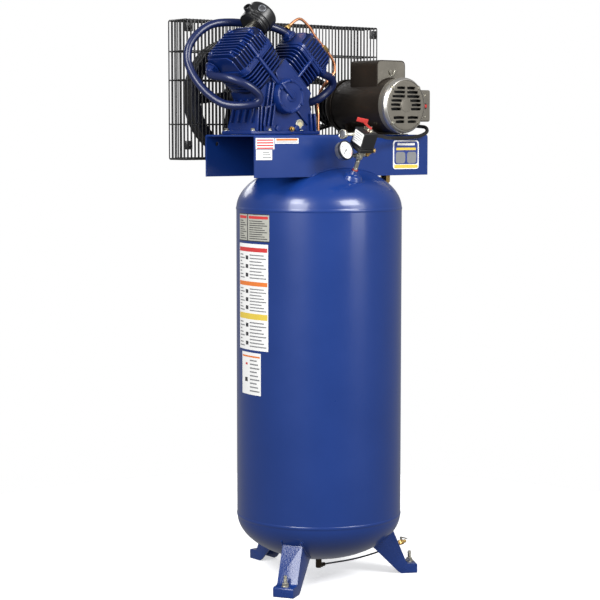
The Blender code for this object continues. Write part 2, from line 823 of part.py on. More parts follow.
# ---- tubes on the pump ------------------------------------------------------------------------------
def make_pump_tubes():
    low_stage_port = bank_point("low_stage", 0.188, BANKS["low_stage"]["head"] + GAP, 0.040)
    high_stage_inlet = bank_point("high_stage", 0.192, -BANKS["high_stage"]["head"] - GAP, 0.030)
    high_stage_port = bank_point("high_stage", 0.186, BANKS["high_stage"]["head"] + GAP, -0.012)
    intercooler = [
        low_stage_port,
        low_stage_port + bank_direction("low_stage", 1) * 0.020,
        (-0.3900, 0.0100, 1.5410),
        (-0.3780, -0.0430, 1.5340),
        (-0.3480, -0.0760, 1.5180),
        (-0.3160, -0.0870, 1.4980),
        (-0.2990, -0.0880, 1.4800),
        (-0.3030, -0.0830, 1.4620),
        (-0.3250, -0.0690, 1.4560),
        (-0.3560, -0.0350, 1.4550),
        (-0.3780, 0.0000, 1.4650),
        (-0.4030, 0.0400, 1.4990),
        (-0.4190, 0.0750, 1.5440),
        (-0.4250, 0.0950, 1.5890),
        (-0.4140, 0.1000, 1.6330),
        (-0.3810, 0.0950, 1.6720),
        (-0.3360, 0.0900, 1.6960),
        (-0.2800, 0.0800, 1.7030),
        (-0.2150, 0.0620, 1.7000),
        (-0.1560, 0.0420, 1.6930),
        high_stage_inlet + bank_direction("high_stage", -1) * 0.018,
        high_stage_inlet,
    ]
    tube("intercooler_tube", intercooler, INTERCOOLER_RADIUS, "blue_paint", 0.026)
    valve_top = CHECK_VALVE + Z_AXIS * (0.046 + GAP)
    discharge = [
        high_stage_port,
        high_stage_port + bank_direction("high_stage", 1) * 0.022,
        (0.0380, -0.0080, 1.5440),
        (0.0560, 0.0020, 1.5230),
        (0.0400, 0.0120, 1.4990),
        (0.0130, 0.0210, 1.4780),
        (-0.0130, 0.0450, 1.4650),
        (-0.0350, 0.0780, 1.4500),
        (*DROP_POINT, 1.4150),
        (*DROP_POINT, 1.3600),
        (-0.0320, 0.0900, 1.3300),
        (0.0300, 0.0480, 1.3180),
        (0.1200, -0.0180, 1.3180),
        (0.1820, -0.0560, 1.3140),
        valve_top + Z_AXIS * 0.018,
        valve_top,
    ]
    tube("discharge_tube", discharge, DISCHARGE_RADIUS, "blue_paint", 0.026)
    line_start = bank_point("high_stage", 0.192 + INTERCOOLER_RADIUS + 0.0006, -0.085, 0.030)
    line_rise = bank_point("high_stage", 0.2226, -0.085, 0.030)
    copper = [
        line_start,
        line_rise,
        (-0.0510, 0.0300, 1.7200),
        (-0.0114, 0.0300, 1.6941),
        (0.0045, 0.0300, 1.6735),
        (0.0325, 0.0300, 1.6471),
        (0.0648, 0.0300, 1.6175),
        (0.0830, 0.0300, 1.5935),
        (0.0871, 0.0300, 1.5752),
        (0.0831, 0.0300, 1.5567),
        (0.0560, 0.0330, 1.5300),
        (0.0430, 0.0430, 1.5050),
        (0.0300, 0.0430, 1.4700),
        (*COPPER_DROP, 1.4300),
        (*COPPER_DROP, 1.3500),
    ]
    tube("unloader_line", copper, COPPER_RADIUS, "copper", 0.014)


CHECK_VALVE = Vector((0.210, -0.070, dome_height(0.2214) + 0.004))


def make_check_valve():
    profile = [
        (0, 0.046),
        (0.0090, 0.046),
        (0.0090, 0.038),
        (0.0155, 0.036),
        (0.0155, 0.006),
        (0.0120, 0.004),
        (0.0120, -0.010),
        (0, -0.010),
    ]
    valve = turned("check_valve", profile, "brass", Matrix.Translation(CHECK_VALVE), steps=20)
    return boolean(valve, OUTSIDE)


# ---- pressure switch, gauge and safety valve ------------------------------------------------------------
def switch_frame(height):
    """Z runs up the leaning pipe that stands on the tank's front shoulder."""
    lean = Vector((0, -math.sin(SWITCH_LEAN), math.cos(SWITCH_LEAN)))
    return facing(Vector(SWITCH_FOOT) + lean * height, lean, Y_AXIS)


VALVE_DIRECTION = Vector((0.97, 0, 0.25)).normalized()


def make_controls():
    nipple = [
        (0, 0.0570),
        (0.0068, 0.0570),
        (0.0068, 0.0163),
        (0, 0.0163),
    ]
    turned("switch_nipple", nipple, "zinc", switch_frame(0), steps=20)
    cross_height = 0.067
    manifold = put("switch_manifold", rod_mesh(0.0105, 0.0573, 0.0860, 20), "zinc", switch_frame(0))
    left = facing(switch_frame(cross_height).translation, -X_AXIS)
    right = facing(switch_frame(cross_height).translation, VALVE_DIRECTION)
    left_arm = put("manifold_left_arm", rod_mesh(0.0085, 0, 0.0180, 16), None, left)
    right_arm = put("manifold_right_arm", rod_mesh(0.0085, 0, 0.0180, 16), None, right)
    boolean(manifold, left_arm, "UNION")
    boolean(manifold, right_arm, "UNION")
    make_safety_valve(right)
    make_gauge(left.translation)
    make_pressure_switch()


def make_safety_valve(place):
    body = [
        (0, 0.0440),
        (0.0070, 0.0440),
        (0.0070, 0.0300),
        (0.0095, 0.0290),
        (0.0095, 0.0240),
        (0.0060, 0.0230),
        (0.0060, 0.0183),
        (0, 0.0183),
    ]
    turned("safety_valve", body, "brass", place, steps=16)
    stem = place @ at(0, 0, 0.0443)
    ring = put("safety_valve_pull", rod_mesh(0.0022, 0, 0.0050, 10), "brass", stem)
    loop_mesh = outline_mesh([circle((0, 0), 0.0085, 20), circle((0, 0), 0.0062, 20)], 0.0020)
    loop_place = stem @ facing((0, 0, 0.0115), X_AXIS, Z_AXIS)
    loop = put("safety_pull_loop", loop_mesh, None, loop_place)
    return boolean(ring, loop, "UNION")


GAUGE_FACE = Vector((0.08, -0.96, 0.24)).normalized()
GAUGE_RADIUS = 0.0290


def gauge_frame(cross):
    centre = cross + Vector((-0.0650, -0.0090, 0.0155))
    return facing(centre, GAUGE_FACE)


def make_gauge(cross):
    place = gauge_frame(cross)
    case = [
        (0, 0.0040),
        (0.0262, 0.0040),
        (0.0262, 0.0080),
        (GAUGE_RADIUS, 0.0080),
        (GAUGE_RADIUS, -0.0120),
        (0.0260, -0.0180),
        (0, -0.0180),
    ]
    case_piece = turned("gauge_case", case, "steel", place, steps=24)
    stem_start = cross - X_AXIS * 0.0183
    stem_bend = stem_start - X_AXIS * 0.0200
    stem_end = place @ Vector((0, 0, -0.0060))
    route = [stem_start, stem_bend, stem_end]
    for index, (start, end) in enumerate(zip(route, route[1:])):
        arm = cylinder_between(f"gauge_stem_{index}", start, end, 0.0050, None, 12)
        boolean(case_piece, arm, "UNION")
    needle = put("gauge_needle", rod_mesh(0.0022, 0.0043, 0.0066, 12), "black_plastic", place)
    blade_place = place @ Matrix.Rotation(math.radians(-45), 4, "Z")
    blade_mesh = box_mesh((0.0012, 0.0220, 0.0006), (0, -0.0060, 0.0056))
    blade = put("gauge_needle_blade", blade_mesh, None, blade_place)
    return boolean(needle, blade, "UNION")


SWITCH_TURN = math.radians(-90)
LEVER_TURN = math.radians(32)


def switch_box_frame():
    """X out through the switch's front, Y along it to the right, Z up the leaning pipe."""
    return switch_frame(0.0863) @ Matrix.Rotation(SWITCH_TURN, 4, "Z")


def lever_frame():
    """The lever's pivot on top of the switch: X along its tab, Y up and Z along the pin to the front."""
    place = switch_box_frame()
    pivot = place @ Vector((0, 0.0085, 0.0695))
    pin = place.to_3x3() @ Vector((math.cos(LEVER_TURN), -math.sin(LEVER_TURN), 0))
    return facing(pivot, pin, place.to_3x3() @ Z_AXIS)


def make_pressure_switch():
    place = switch_box_frame()
    base_mesh = box_mesh((0.056, 0.052, 0.012), (0, -0.002, 0.0065), 0.0015)
    put("pressure_switch_base", base_mesh, "black_plastic", place)
    cover_mesh = box_mesh((0.054, 0.050, 0.050), (0, -0.002, 0.0380), 0.003)
    cover = put("pressure_switch_cover", cover_mesh, "black_plastic", place)
    hollow_mesh = box_mesh((0.050, 0.046, 0.044), (0, -0.002, 0.0320))
    hollow = put("switch_cover_hollow", hollow_mesh, None, place)
    boolean(cover, hollow)
    pivot = lever_frame()
    ear = put("switch_cover_ear", box_mesh((0.010, 0.012, 0.003), (0, -0.001, 0)), None, pivot)
    boolean(cover, ear, "UNION")
    lever = put("pressure_switch_lever", rod_mesh(0.0050, 0.0018, 0.0054, 16), "red_plastic", pivot)
    arm_place = pivot @ at(-0.011, 0.007, 0.0033) @ Matrix.Rotation(math.radians(-32.5), 4, "Z")
    arm = put("switch_lever_arm", box_mesh((0.024, 0.007, 0.0022)), None, arm_place)
    boolean(lever, arm, "UNION")
    tab = put("switch_lever_tab", box_mesh((0.034, 0.0135, 0.0030), (-0.030, 0.0192, 0.0034)), None, pivot)
    return boolean(lever, tab, "UNION")


# ---- motor ------------------------------------------------------------------------------------------
def motor_frame(y):
    return facing((MOTOR_X, y, MOTOR_Z), Y_AXIS)


def make_motor():
    front = MOTOR_FRONT + BELL_LENGTH
    rear = MOTOR_REAR - BELL_LENGTH
    shell = ring_profile(MOTOR_RADIUS - 0.003, MOTOR_RADIUS, front + GAP, rear - GAP)
    turned("motor_shell", shell, "motor_paint", motor_frame(0), steps=32, closed=True)
    for name, face, finish in (("motor_front_bell", -1, "motor_cast"), ("motor_rear_bell", 1, "motor_paint")):
        end = MOTOR_FRONT if face < 0 else MOTOR_REAR
        place = facing((MOTOR_X, end, MOTOR_Z), Y_AXIS * face)
        bore = MOTOR_SHAFT_RADIUS + RUNNING_GAP
        outer = MOTOR_RADIUS + 0.0025
        profile = [
            (bore, 0),
            (0.0560, 0),
            (0.0720, -0.004),
            (outer, -0.016),
            (outer, -BELL_LENGTH),
            (outer - 0.005, -BELL_LENGTH),
            (outer - 0.005, -0.018),
            (0.0690, -0.009),
            (0.0280, -0.006),
            (0.0260, -0.020),
            (bore, -0.020),
        ]
        bell = turned(name, profile, finish, place, steps=26, closed=True)
        for side in (-1, 1):
            for row in range(3):
                slot_centre = (side * 0.044, 0.024 - 0.024 * row, -0.006)
                slot_mesh = box_mesh((0.026, 0.009, 0.030), slot_centre)
                slot = put(f"{name}_slot_{side}_{row}", slot_mesh, None, place)
                boolean(bell, slot)
    stator = ring_profile(0.0480, MOTOR_RADIUS - 0.003 - GAP, -0.070, 0.060)
    turned("motor_stator", stator, "copper", motor_frame(0), steps=32, closed=True)
    rotor = [
        (0, 0.2060),
        (MOTOR_SHAFT_RADIUS, 0.2060),
        (MOTOR_SHAFT_RADIUS, 0.0700),
        (0.0460, 0.0650),
        (0.0460, -0.0750),
        (MOTOR_SHAFT_RADIUS, -0.0800),
        (MOTOR_SHAFT_RADIUS, -0.1570),
        (0, -0.1570),
    ]
    turned("motor_rotor", rotor, "steel", motor_frame(0), steps=28)
    make_motor_boxes()
    make_motor_base()


def make_motor_boxes():
    barrel_mesh = rod_mesh(MOTOR_RADIUS + GAP, -0.14, 0.14, 64)
    barrel = put("motor_barrel_clearance", barrel_mesh, None, motor_frame(0))
    low = MOTOR_Z + 0.045
    height = CAPACITOR_TOP - low
    centre = (MOTOR_X, -0.035, low + height / 2)
    cover_mesh = box_mesh((0.117, 0.124, height), centre, 0.012)
    cover = put("capacitor_cover", cover_mesh, "motor_paint")
    hollow_centre = (MOTOR_X, -0.035, low + height / 2 - 0.006)
    hollow = put("capacitor_hollow", box_mesh((0.109, 0.116, height), hollow_centre, 0.010), None)
    boolean(cover, hollow)
    boolean(cover, barrel)
    box_centre = (0.3150, -0.0860, 1.4590)
    switch_box = put("motor_switch_box", box_mesh((0.060, 0.086, 0.098), box_centre, 0.003), "motor_cast")
    boolean(switch_box, barrel)
    bell_mesh = rod_mesh(MOTOR_RADIUS + 0.003, -0.15, -0.10, 48)
    bell_cut = put("switch_box_bell_cut", bell_mesh, None, motor_frame(0))
    boolean(switch_box, bell_cut)
    button_place = facing((0.3200, -0.1290, 1.4580), -Y_AXIS)
    socket = put("reset_button_socket", rod_mesh(0.0062, -0.0120, 0.0100, 16), None, button_place)
    boolean(switch_box, socket)
    button = [
        (0, 0.0070),
        (0.0045, 0.0070),
        (0.0057, 0.0055),
        (0.0057, -0.0060),
        (0, -0.0060),
    ]
    return turned("reset_button", button, "red_plastic", button_place, steps=16)


def make_motor_base():
    low = PLATFORM_TOP + GAP
    plate_size = (0.166, 0.150, 0.0025)
    base = put("motor_base", box_mesh(plate_size, (MOTOR_X, -0.010, low + 0.00125)), "motor_paint")
    for index, y in enumerate((-0.060, 0.040)):
        saddle_mesh = box_mesh((0.126, 0.012, 0.030), (MOTOR_X, y, low + 0.0155))
        saddle = put(f"motor_saddle_{index}", saddle_mesh, None)
        boolean(base, saddle, "UNION")
    barrel = put("motor_base_cut", rod_mesh(MOTOR_RADIUS + GAP, -0.14, 0.14, 64), None, motor_frame(0))
    return boolean(base, barrel)


# ---- drive and guard -----------------------------------------------------------------------------------
def groove_profile(inner, outer, web_low, web_high):
    """The section of a two-groove rim, from its inner edge round the outside."""
    half = RIM_WIDTH / 2
    groove = BELT_WIDTH / 2 + GAP
    bottom = outer - GROOVE_DEPTH
    profile = [(inner, web_high), (inner, half), (outer, half)]
    for offset in (BELT_OFFSET, -BELT_OFFSET):
        profile += [
            (outer, offset + groove),
            (bottom, offset + groove),
            (bottom, offset - groove),
            (outer, offset - groove),
        ]
    profile += [(outer, -half), (inner, -half), (inner, web_low)]
    return profile


def make_flywheel():
    rim = groove_profile(FLYWHEEL_INNER, FLYWHEEL_RADIUS, -0.010, 0.010)
    rim = [rim[1]] + rim[2:-1]
    place = crank_frame(FLYWHEEL_Y)
    wheel = turned("flywheel", rim, "dark_paint", place, steps=40, closed=True)
    hub_profile = ring_profile(SHAFT_RADIUS + GAP, 0.036, -0.028, 0.026)
    hub = turned("flywheel_hub", hub_profile, None, place, steps=20, closed=True)
    for index in range(SPOKES):
        angle = SPOKE_START + index * 2 * math.pi / SPOKES
        size = (FLYWHEEL_INNER - 0.028, 0.030, 0.014)
        centre = ((FLYWHEEL_INNER + 0.034) / 2, 0, 0)
        spoke_place = place @ Matrix.Rotation(angle, 4, "Z")
        spoke = put(f"flywheel_spoke_{index}", box_mesh(size, centre), None, spoke_place)
        boolean(wheel, spoke, "UNION")
    return boolean(wheel, hub, "UNION")


def make_pulley():
    profile = groove_profile(MOTOR_SHAFT_RADIUS + GAP, PULLEY_RADIUS, 0, 0)
    profile = profile[1:-1]
    return turned("motor_pulley", profile, "dark_paint", motor_frame(FLYWHEEL_Y), steps=28, closed=True)


def belt_loop(big, small):
    """The outline round two pulleys: the big one at the crank and the small one at the motor."""
    start = Vector((CRANK_X, CRANK_Z))
    end = Vector((MOTOR_X, MOTOR_Z))
    run = end - start
    heading = math.degrees(math.atan2(run.y, run.x))
    lean = math.degrees(math.acos((big - small) / run.length))
    far_side = arc(start, big, heading + lean, heading + 360 - lean, 30)
    near_side = arc(end, small, heading - lean, heading + lean, 10)
    return far_side + near_side


def make_belts():
    outside = 0.0005
    for name, offset in (("belt_front", -BELT_OFFSET), ("belt_rear", BELT_OFFSET)):
        outer = belt_loop(FLYWHEEL_RADIUS - outside, PULLEY_RADIUS - outside)
        inside = outside + BELT_THICKNESS
        inner = belt_loop(FLYWHEEL_RADIUS - inside, PULLEY_RADIUS - inside)
        upright = at(0, FLYWHEEL_Y + offset, 0) @ Matrix.Rotation(math.radians(90), 4, "X")
        put(name, outline_mesh([outer, inner], BELT_WIDTH), "rubber", upright)


def grille(width_low, width_high, low, high, columns, rows, wire, thickness, extra=()):
    """A flat welded grille: its edge, and one window for each space between wires."""
    step_x = (width_high - width_low - wire) / columns
    step_y = (high - low - wire) / rows
    loops = [rectangle(width_low, width_high, low, high)]
    for column in range(columns):
        for row in range(rows):
            left = width_low + wire + column * step_x
            bottom = low + wire + row * step_y
            window = rectangle(left, left + step_x - wire, bottom, bottom + step_y - wire)
            if not any(touches(window, hole) for hole in extra):
                loops.append(window)
    for centre, radius in extra:
        loops.append(circle(centre, radius, 28))
    return outline_mesh(loops, thickness)


def touches(window, hole):
    """True where a window comes nearer to a round hole than one wire."""
    (centre_x, centre_y), radius = hole
    near_x = min(max(centre_x, window[0][0]), window[2][0])
    near_y = min(max(centre_y, window[0][1]), window[2][1])
    return math.hypot(centre_x - near_x, centre_y - near_y) < radius + GUARD_WIRE


def make_guard():
    upright = Matrix.Rotation(math.radians(90), 4, "X")
    shaft_holes = [((CRANK_X, CRANK_Z), 0.050), ((MOTOR_X, MOTOR_Z), 0.030)]
    edges = (GUARD_LEFT, GUARD_RIGHT, GUARD_BOTTOM, GUARD_TOP)
    size = (*edges, GUARD_COLUMNS, GUARD_ROWS, GUARD_WIRE, GUARD_WIRE)
    front = grille(*size, extra=shaft_holes)
    front_y = GUARD_FRONT + GUARD_WIRE / 2
    rear_y = GUARD_REAR - GUARD_WIRE / 2
    put("guard_front_panel", front, "black_wire", at(0, front_y, 0) @ upright)
    put("guard_rear_panel", grille(*size), "black_wire", at(0, rear_y, 0) @ upright)
    depth_low = GUARD_FRONT + GUARD_WIRE + GAP
    depth_high = GUARD_REAR - GUARD_WIRE - GAP
    flat = (depth_low, depth_high)
    quarter = Matrix.Rotation(math.radians(90), 4, "Z")
    inset = 0.0007
    end_size = (depth_low + inset, depth_high - inset, GUARD_BOTTOM + inset, GUARD_TOP - inset)
    ends = grille(*end_size, 2, GUARD_ROWS, GUARD_WIRE, GUARD_WIRE)
    decks = grille(GUARD_LEFT, GUARD_RIGHT, *flat, GUARD_COLUMNS // 2, 1, GUARD_WIRE, GUARD_WIRE)
    band = put("guard_rim", decks, "black_wire", at(0, 0, GUARD_TOP - GUARD_WIRE / 2))
    bottom = put("guard_rim_bottom", decks.copy(), None, at(0, 0, GUARD_BOTTOM + GUARD_WIRE / 2))
    for name, x in (("left", GUARD_LEFT + GUARD_WIRE), ("right", GUARD_RIGHT - GUARD_WIRE)):
        end = put(f"guard_rim_{name}", ends.copy(), None, at(x, 0, 0) @ quarter @ upright)
        boolean(band, end, "UNION")
    return boolean(band, bottom, "UNION")


# ---- wiring ----------------------------------------------------------------------------------------------
def make_conduit():
    switch_side = switch_box_frame() @ Vector((0, 0.0234, 0.0450))
    leaving = (switch_box_frame().to_3x3() @ Y_AXIS).normalized()
    route = [
        switch_side,
        switch_side + leaving * 0.018,
        (0.0600, -0.2200, 1.3650),
        (0.1050, -0.1930, 1.3610),
        (0.1500, -0.1700, 1.3600),
        (0.2200, -0.1560, 1.3600),
        (0.2850, -0.1450, 1.3660),
        (0.3210, -0.1380, 1.3780),
        (0.3260, -0.1280, 1.3920),
        (0.3140, -0.1050, 1.3960),
        (0.3070, -0.0850, 1.4000),
        (0.3070, -0.0850, 1.4097),
    ]
    return tube("switch_conduit", route, CONDUIT_RADIUS, "black_plastic", 0.014)


OUTSIDE = tank_cutter()
make_tank()
for leg_name, leg_angle in LEG_ANGLES.items():
    make_leg(leg_name, leg_angle)
    make_anchor_bolt(leg_name.replace("leg", "anchor_bolt"), leg_angle)
make_platform()
make_drain()
make_pump()
make_filter()
make_pump_tubes()
make_check_valve()
make_controls()
make_motor()
make_flywheel()
make_pulley()
make_belts()
make_guard()
make_conduit()
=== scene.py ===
"""The looks of a vertical tank compressor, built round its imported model.

Lengths are in metres. Pieces are placed in the tank's own frame, whose origin is where the
tank's axis meets the floor: BASE carries it to the model's frame. +X runs along the platform
towards the motor and +Y towards the belt guard.
"""

import json
import math

import bmesh
import bpy
from mathutils import Matrix, Vector


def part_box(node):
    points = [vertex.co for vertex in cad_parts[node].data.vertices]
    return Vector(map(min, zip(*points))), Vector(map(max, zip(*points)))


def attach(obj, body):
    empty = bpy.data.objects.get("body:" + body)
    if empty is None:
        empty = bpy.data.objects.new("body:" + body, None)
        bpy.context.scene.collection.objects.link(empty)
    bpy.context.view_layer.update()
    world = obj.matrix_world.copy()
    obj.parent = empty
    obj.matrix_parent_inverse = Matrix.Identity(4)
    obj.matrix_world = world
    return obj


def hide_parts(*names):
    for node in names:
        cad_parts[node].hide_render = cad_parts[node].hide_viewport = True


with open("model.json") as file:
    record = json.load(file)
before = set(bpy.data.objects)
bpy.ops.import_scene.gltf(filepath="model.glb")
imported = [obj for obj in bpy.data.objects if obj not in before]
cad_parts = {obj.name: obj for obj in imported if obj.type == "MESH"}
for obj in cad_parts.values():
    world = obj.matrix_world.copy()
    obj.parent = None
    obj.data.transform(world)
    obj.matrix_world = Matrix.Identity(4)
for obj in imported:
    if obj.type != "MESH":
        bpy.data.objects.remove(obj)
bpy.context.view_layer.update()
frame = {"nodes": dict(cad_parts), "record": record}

X_AXIS = Vector((1, 0, 0))
Y_AXIS = Vector((0, 1, 0))
Z_AXIS = Vector((0, 0, 1))
ROOT = "receiver"

tank_low, tank_high = (Vector(corner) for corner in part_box("tank_shell"))
AXIS = (tank_low + tank_high) / 2
BASE = Matrix.Translation((AXIS.x, AXIS.y, 0))
HERE = Matrix.Identity(4)

# ---- driving dimensions, in the tank's frame ----
TANK_RADIUS = 0.254
HEAD_DEPTH = 0.14
LOWER_SEAM = 0.2
UPPER_SEAM = 1.146
PLATFORM_TOP = 1.37
PLATFORM_DEPTH = 0.125
PLATFORM_SHEET = 0.005
PLATFORM_LENGTH = 0.686
PLATFORM_WIDTH = 0.24
CRANK_X = -0.187
CRANK_Z = 1.483
CASE_HALF_DEPTH = 0.068
MOTOR_X = 0.208
MOTOR_Z = 1.459
MOTOR_RADIUS = 0.0825
MOTOR_FRONT = -0.166
MOTOR_REAR = 0.128
BELL_LENGTH = 0.034
BELL_BOLT_CIRCLE = 0.075
CAPACITOR_TOP = 1.598
FLYWHEEL_RADIUS = 0.178
FLYWHEEL_Y = 0.18
PULLEY_RADIUS = 0.058
BELT_OFFSET = 0.0095
BELT_WIDTH = 0.013
GROOVE_DEPTH = 0.0107
SHEAVE_HALF_WIDTH = 0.0225
BANKS = {
    "low_stage": {"side": -1, "y": -0.007, "bore": 0.05, "fin": 0.076, "head": 0.075},
    "high_stage": {"side": 1, "y": 0.007, "bore": 0.03, "fin": 0.063, "head": 0.064},
}


# ---- materials ----
def node(tree, kind, **values):
    made = tree.nodes.new(kind)
    for key, value in values.items():
        if hasattr(made, key):
            setattr(made, key, value)
        else:
            made.inputs[key.replace("_", " ")].default_value = value
    return made


LEAST_ROUGHNESS = 0.02
ROUGHNESS_RANGE = 0.08
COAT_ROUGHNESS = 0.12


def finish(
    name, colour, roughness, metallic=0.0, coat=0.0, grain=(300.0, 0.08), tone=(9.0, 0.18),
    specular=0.5,
):
    """A painted, plated or moulded surface: varied tone, varied roughness and a fine bump."""
    made = bpy.data.materials.new(name)
    made.use_nodes = True
    tree = made.node_tree
    shader = tree.nodes["Principled BSDF"]
    shader.inputs["Metallic"].default_value = metallic
    shader.inputs["Coat Weight"].default_value = coat
    shader.inputs["Coat Roughness"].default_value = COAT_ROUGHNESS
    shader.inputs["Specular IOR Level"].default_value = specular
    place = node(tree, "ShaderNodeTexCoord").outputs["Object"]
    tones = node(tree, "ShaderNodeTexNoise", Scale=tone[0], Detail=4.0, Roughness=0.6)
    tree.links.new(place, tones.inputs["Vector"])
    blend = node(tree, "ShaderNodeMix", data_type="RGBA")
    blend.inputs[6].default_value = (*[c * (1 - tone[1]) for c in colour], 1)
    blend.inputs[7].default_value = (*[min(1, c * (1 + tone[1])) for c in colour], 1)
    tree.links.new(tones.outputs["Fac"], blend.inputs[0])
    tree.links.new(blend.outputs[2], shader.inputs["Base Color"])
    sheen = node(tree, "ShaderNodeMapRange")
    sheen.inputs["To Min"].default_value = max(LEAST_ROUGHNESS, roughness - ROUGHNESS_RANGE)
    sheen.inputs["To Max"].default_value = roughness + ROUGHNESS_RANGE
    tree.links.new(tones.outputs["Fac"], sheen.inputs["Value"])
    tree.links.new(sheen.outputs["Result"], shader.inputs["Roughness"])
    if grain[1]:
        fine = node(tree, "ShaderNodeTexNoise", Scale=grain[0], Detail=3.0, Roughness=0.55)
        tree.links.new(place, fine.inputs["Vector"])
        bump = node(tree, "ShaderNodeBump", Strength=grain[1], Distance=0.001)
        tree.links.new(fine.outputs["Fac"], bump.inputs["Height"])
        tree.links.new(bump.outputs["Normal"], shader.inputs["Normal"])
    return made


BLUE = (0.005, 0.0315, 0.182)
CAST_BLUE = (0.0035, 0.02, 0.13)
TUBE_BLUE = (0.0055, 0.0125, 0.064)
# The darkest blue is painted shade: it darkens the gaps between the pump's fins and ribs.
PAINTED_SHADE_BLUE = (0.0016, 0.006, 0.036)
FINISHES = {
    "blue_paint": finish("blue_enamel", BLUE, 0.3, coat=0.45, grain=(90, 0.04), tone=(5, 0.12)),
    "blue_sheet": finish(
        "blue_enamel_sheet", BLUE, 0.34, coat=0.3, grain=(120, 0.05), tone=(7, 0.1),
    ),
    "blue_cast": finish(
        "blue_enamel_cast", CAST_BLUE, 0.3, coat=0.2, grain=(170, 0.14), tone=(18, 0.25),
        specular=0.4,
    ),
    # Painted shade: a darker blue for the barrels between the fins and the head cores between the
    # ribs, standing in for the shade in those gaps.
    "blue_painted_shade": finish(
        "blue_enamel_cavity", PAINTED_SHADE_BLUE, 0.5, grain=(170, 0.22), tone=(18, 0.3), specular=0.2,
    ),
    "blue_tube": finish(
        "blue_enamel_tube", TUBE_BLUE, 0.34, coat=0.2, grain=(140, 0.08), tone=(14, 0.25),
        specular=0.4,
    ),
    "blue_hammer": finish(
        "blue_hammertone", BLUE, 0.28, coat=0.5, grain=(190, 0.95), tone=(30, 0.2),
    ),
    "dark_paint": finish("dark_enamel", (0.008, 0.01, 0.02), 0.42, grain=(200, 0.12)),
    "black_wire": finish(
        "black_coated_wire", (0.006, 0.006, 0.007), 0.42, coat=0.15, grain=(300, 0.1),
    ),
    "black_plastic": finish(
        "black_moulding", (0.0085, 0.0085, 0.0095), 0.44, grain=(400, 0.1), tone=(30, 0.2),
    ),
    "gloss_black": finish(
        "gloss_black_moulding", (0.0085, 0.0085, 0.0095), 0.36, coat=0.1, grain=(200, 0.01),
        tone=(20, 0.15),
    ),
    "motor_paint": finish(
        "motor_shell_paint", (0.031, 0.0235, 0.0175), 0.36, metallic=0.45, grain=(200, 0.06),
        tone=(12, 0.25),
    ),
    "motor_cast": finish(
        "motor_bell_paint", (0.19, 0.176, 0.148), 0.38, metallic=0.45, grain=(200, 0.15),
        tone=(16, 0.16),
    ),
    "polished": finish(
        "polished_rim", (0.58, 0.56, 0.52), 0.36, metallic=0.9, grain=(200, 0.02), tone=(20, 0.1),
    ),
    "zinc": finish(
        "zinc_plate", (0.6, 0.58, 0.5), 0.32, metallic=1.0, grain=(200, 0.03), tone=(60, 0.18),
    ),
    "dull_steel": finish(
        "dull_steel", (0.23, 0.24, 0.26), 0.36, metallic=0.8, grain=(200, 0.02), tone=(40, 0.15),
    ),
    "steel": finish(
        "turned_steel", (0.56, 0.56, 0.57), 0.3, metallic=1.0, grain=(200, 0.02), tone=(40, 0.12),
    ),
    "aluminium": finish(
        "machined_aluminium", (0.7, 0.7, 0.7), 0.34, metallic=1.0, grain=(200, 0.03),
    ),
    "brass": finish(
        "brass_fitting", (0.72, 0.47, 0.16), 0.28, metallic=1.0, grain=(200, 0.03), tone=(50, 0.2),
    ),
    "old_brass": finish(
        "tarnished_brass", (0.05, 0.036, 0.022), 0.42, metallic=0.7, grain=(200, 0.05),
        tone=(50, 0.3),
    ),
    "copper": finish(
        "drawn_copper", (0.86, 0.36, 0.18), 0.34, metallic=0.85, grain=(100, 0.01),
        tone=(30, 0.18),
    ),
    "rubber": finish("belt_rubber", (0.01, 0.01, 0.01), 0.75, grain=(400, 0.15)),
    "red_plastic": finish("red_moulding", (0.52, 0.04, 0.034), 0.38, grain=(200, 0.05)),
    "white_print": finish(
        "white_label_film", (0.9, 0.9, 0.89), 0.42, grain=(100, 0.01), tone=(40, 0.04),
        specular=0.3,
    ),
    "pale_print": finish(
        "pale_label_film", (0.44, 0.44, 0.39), 0.42, grain=(100, 0.01), tone=(60, 0.12),
        specular=0.3,
    ),
    "grey_print": finish(
        "grey_label_film", (0.235, 0.24, 0.25), 0.42, grain=(100, 0.01), tone=(40, 0.08),
    ),
    "dark_print": finish(
        "dark_label_print", (0.04, 0.04, 0.045), 0.45, grain=(100, 0.01), tone=(40, 0.1),
    ),
    "paper": finish("filter_paper", (0.62, 0.52, 0.36), 0.9, grain=(400, 0.3)),
    "glass": finish("sight_glass", (0.62, 0.56, 0.34), 0.1, coat=1.0, grain=(100, 0.01)),
    # Painted shade: a near-black for dark sheets set behind openings.
    "shadow": finish("dark_interior", (0.006, 0.006, 0.006), 0.8, grain=(200, 0.05)),
}
PRINT_COLOURS = {
    "red": (0.62, 0.045, 0.045),
    "orange": (0.8, 0.21, 0.04),
    "yellow": (0.78, 0.58, 0.08),
    "blue": (0.025, 0.05, 0.23),
}
for ink, ink_colour in PRINT_COLOURS.items():
    FINISHES[f"{ink}_print"] = finish(
        f"{ink}_label_print", ink_colour, 0.42, grain=(100, 0.01), tone=(40, 0.08)
    )

for cad_node in frame["nodes"].values():
    for subpart in frame["record"]["subparts"]:
        if subpart["node"] == cad_node.name:
            for material_slot in cad_node.material_slots:
                material_slot.material = FINISHES[subpart["material_slot"]]


# ---- placing ----
def at(x, y, z):
    return Matrix.Translation((x, y, z))


def spun(degrees, axis="Z"):
    return Matrix.Rotation(math.radians(degrees), 4, axis)


def facing(point, direction, up=Z_AXIS):
    """A frame at point whose +Z runs along direction, with +Y as near to up as it can be."""
    along = Vector(direction).normalized()
    near = Vector(up)
    if abs(along.dot(near)) > 0.999:
        near = Y_AXIS
    across = near.cross(along).normalized()
    upward = along.cross(across)
    return Matrix.Translation(point) @ Matrix((across, upward, along)).transposed().to_4x4()


def linked(name, data):
    """A new object in the scene."""
    made = bpy.data.objects.new(name, data)
    bpy.context.scene.collection.objects.link(made)
    return made


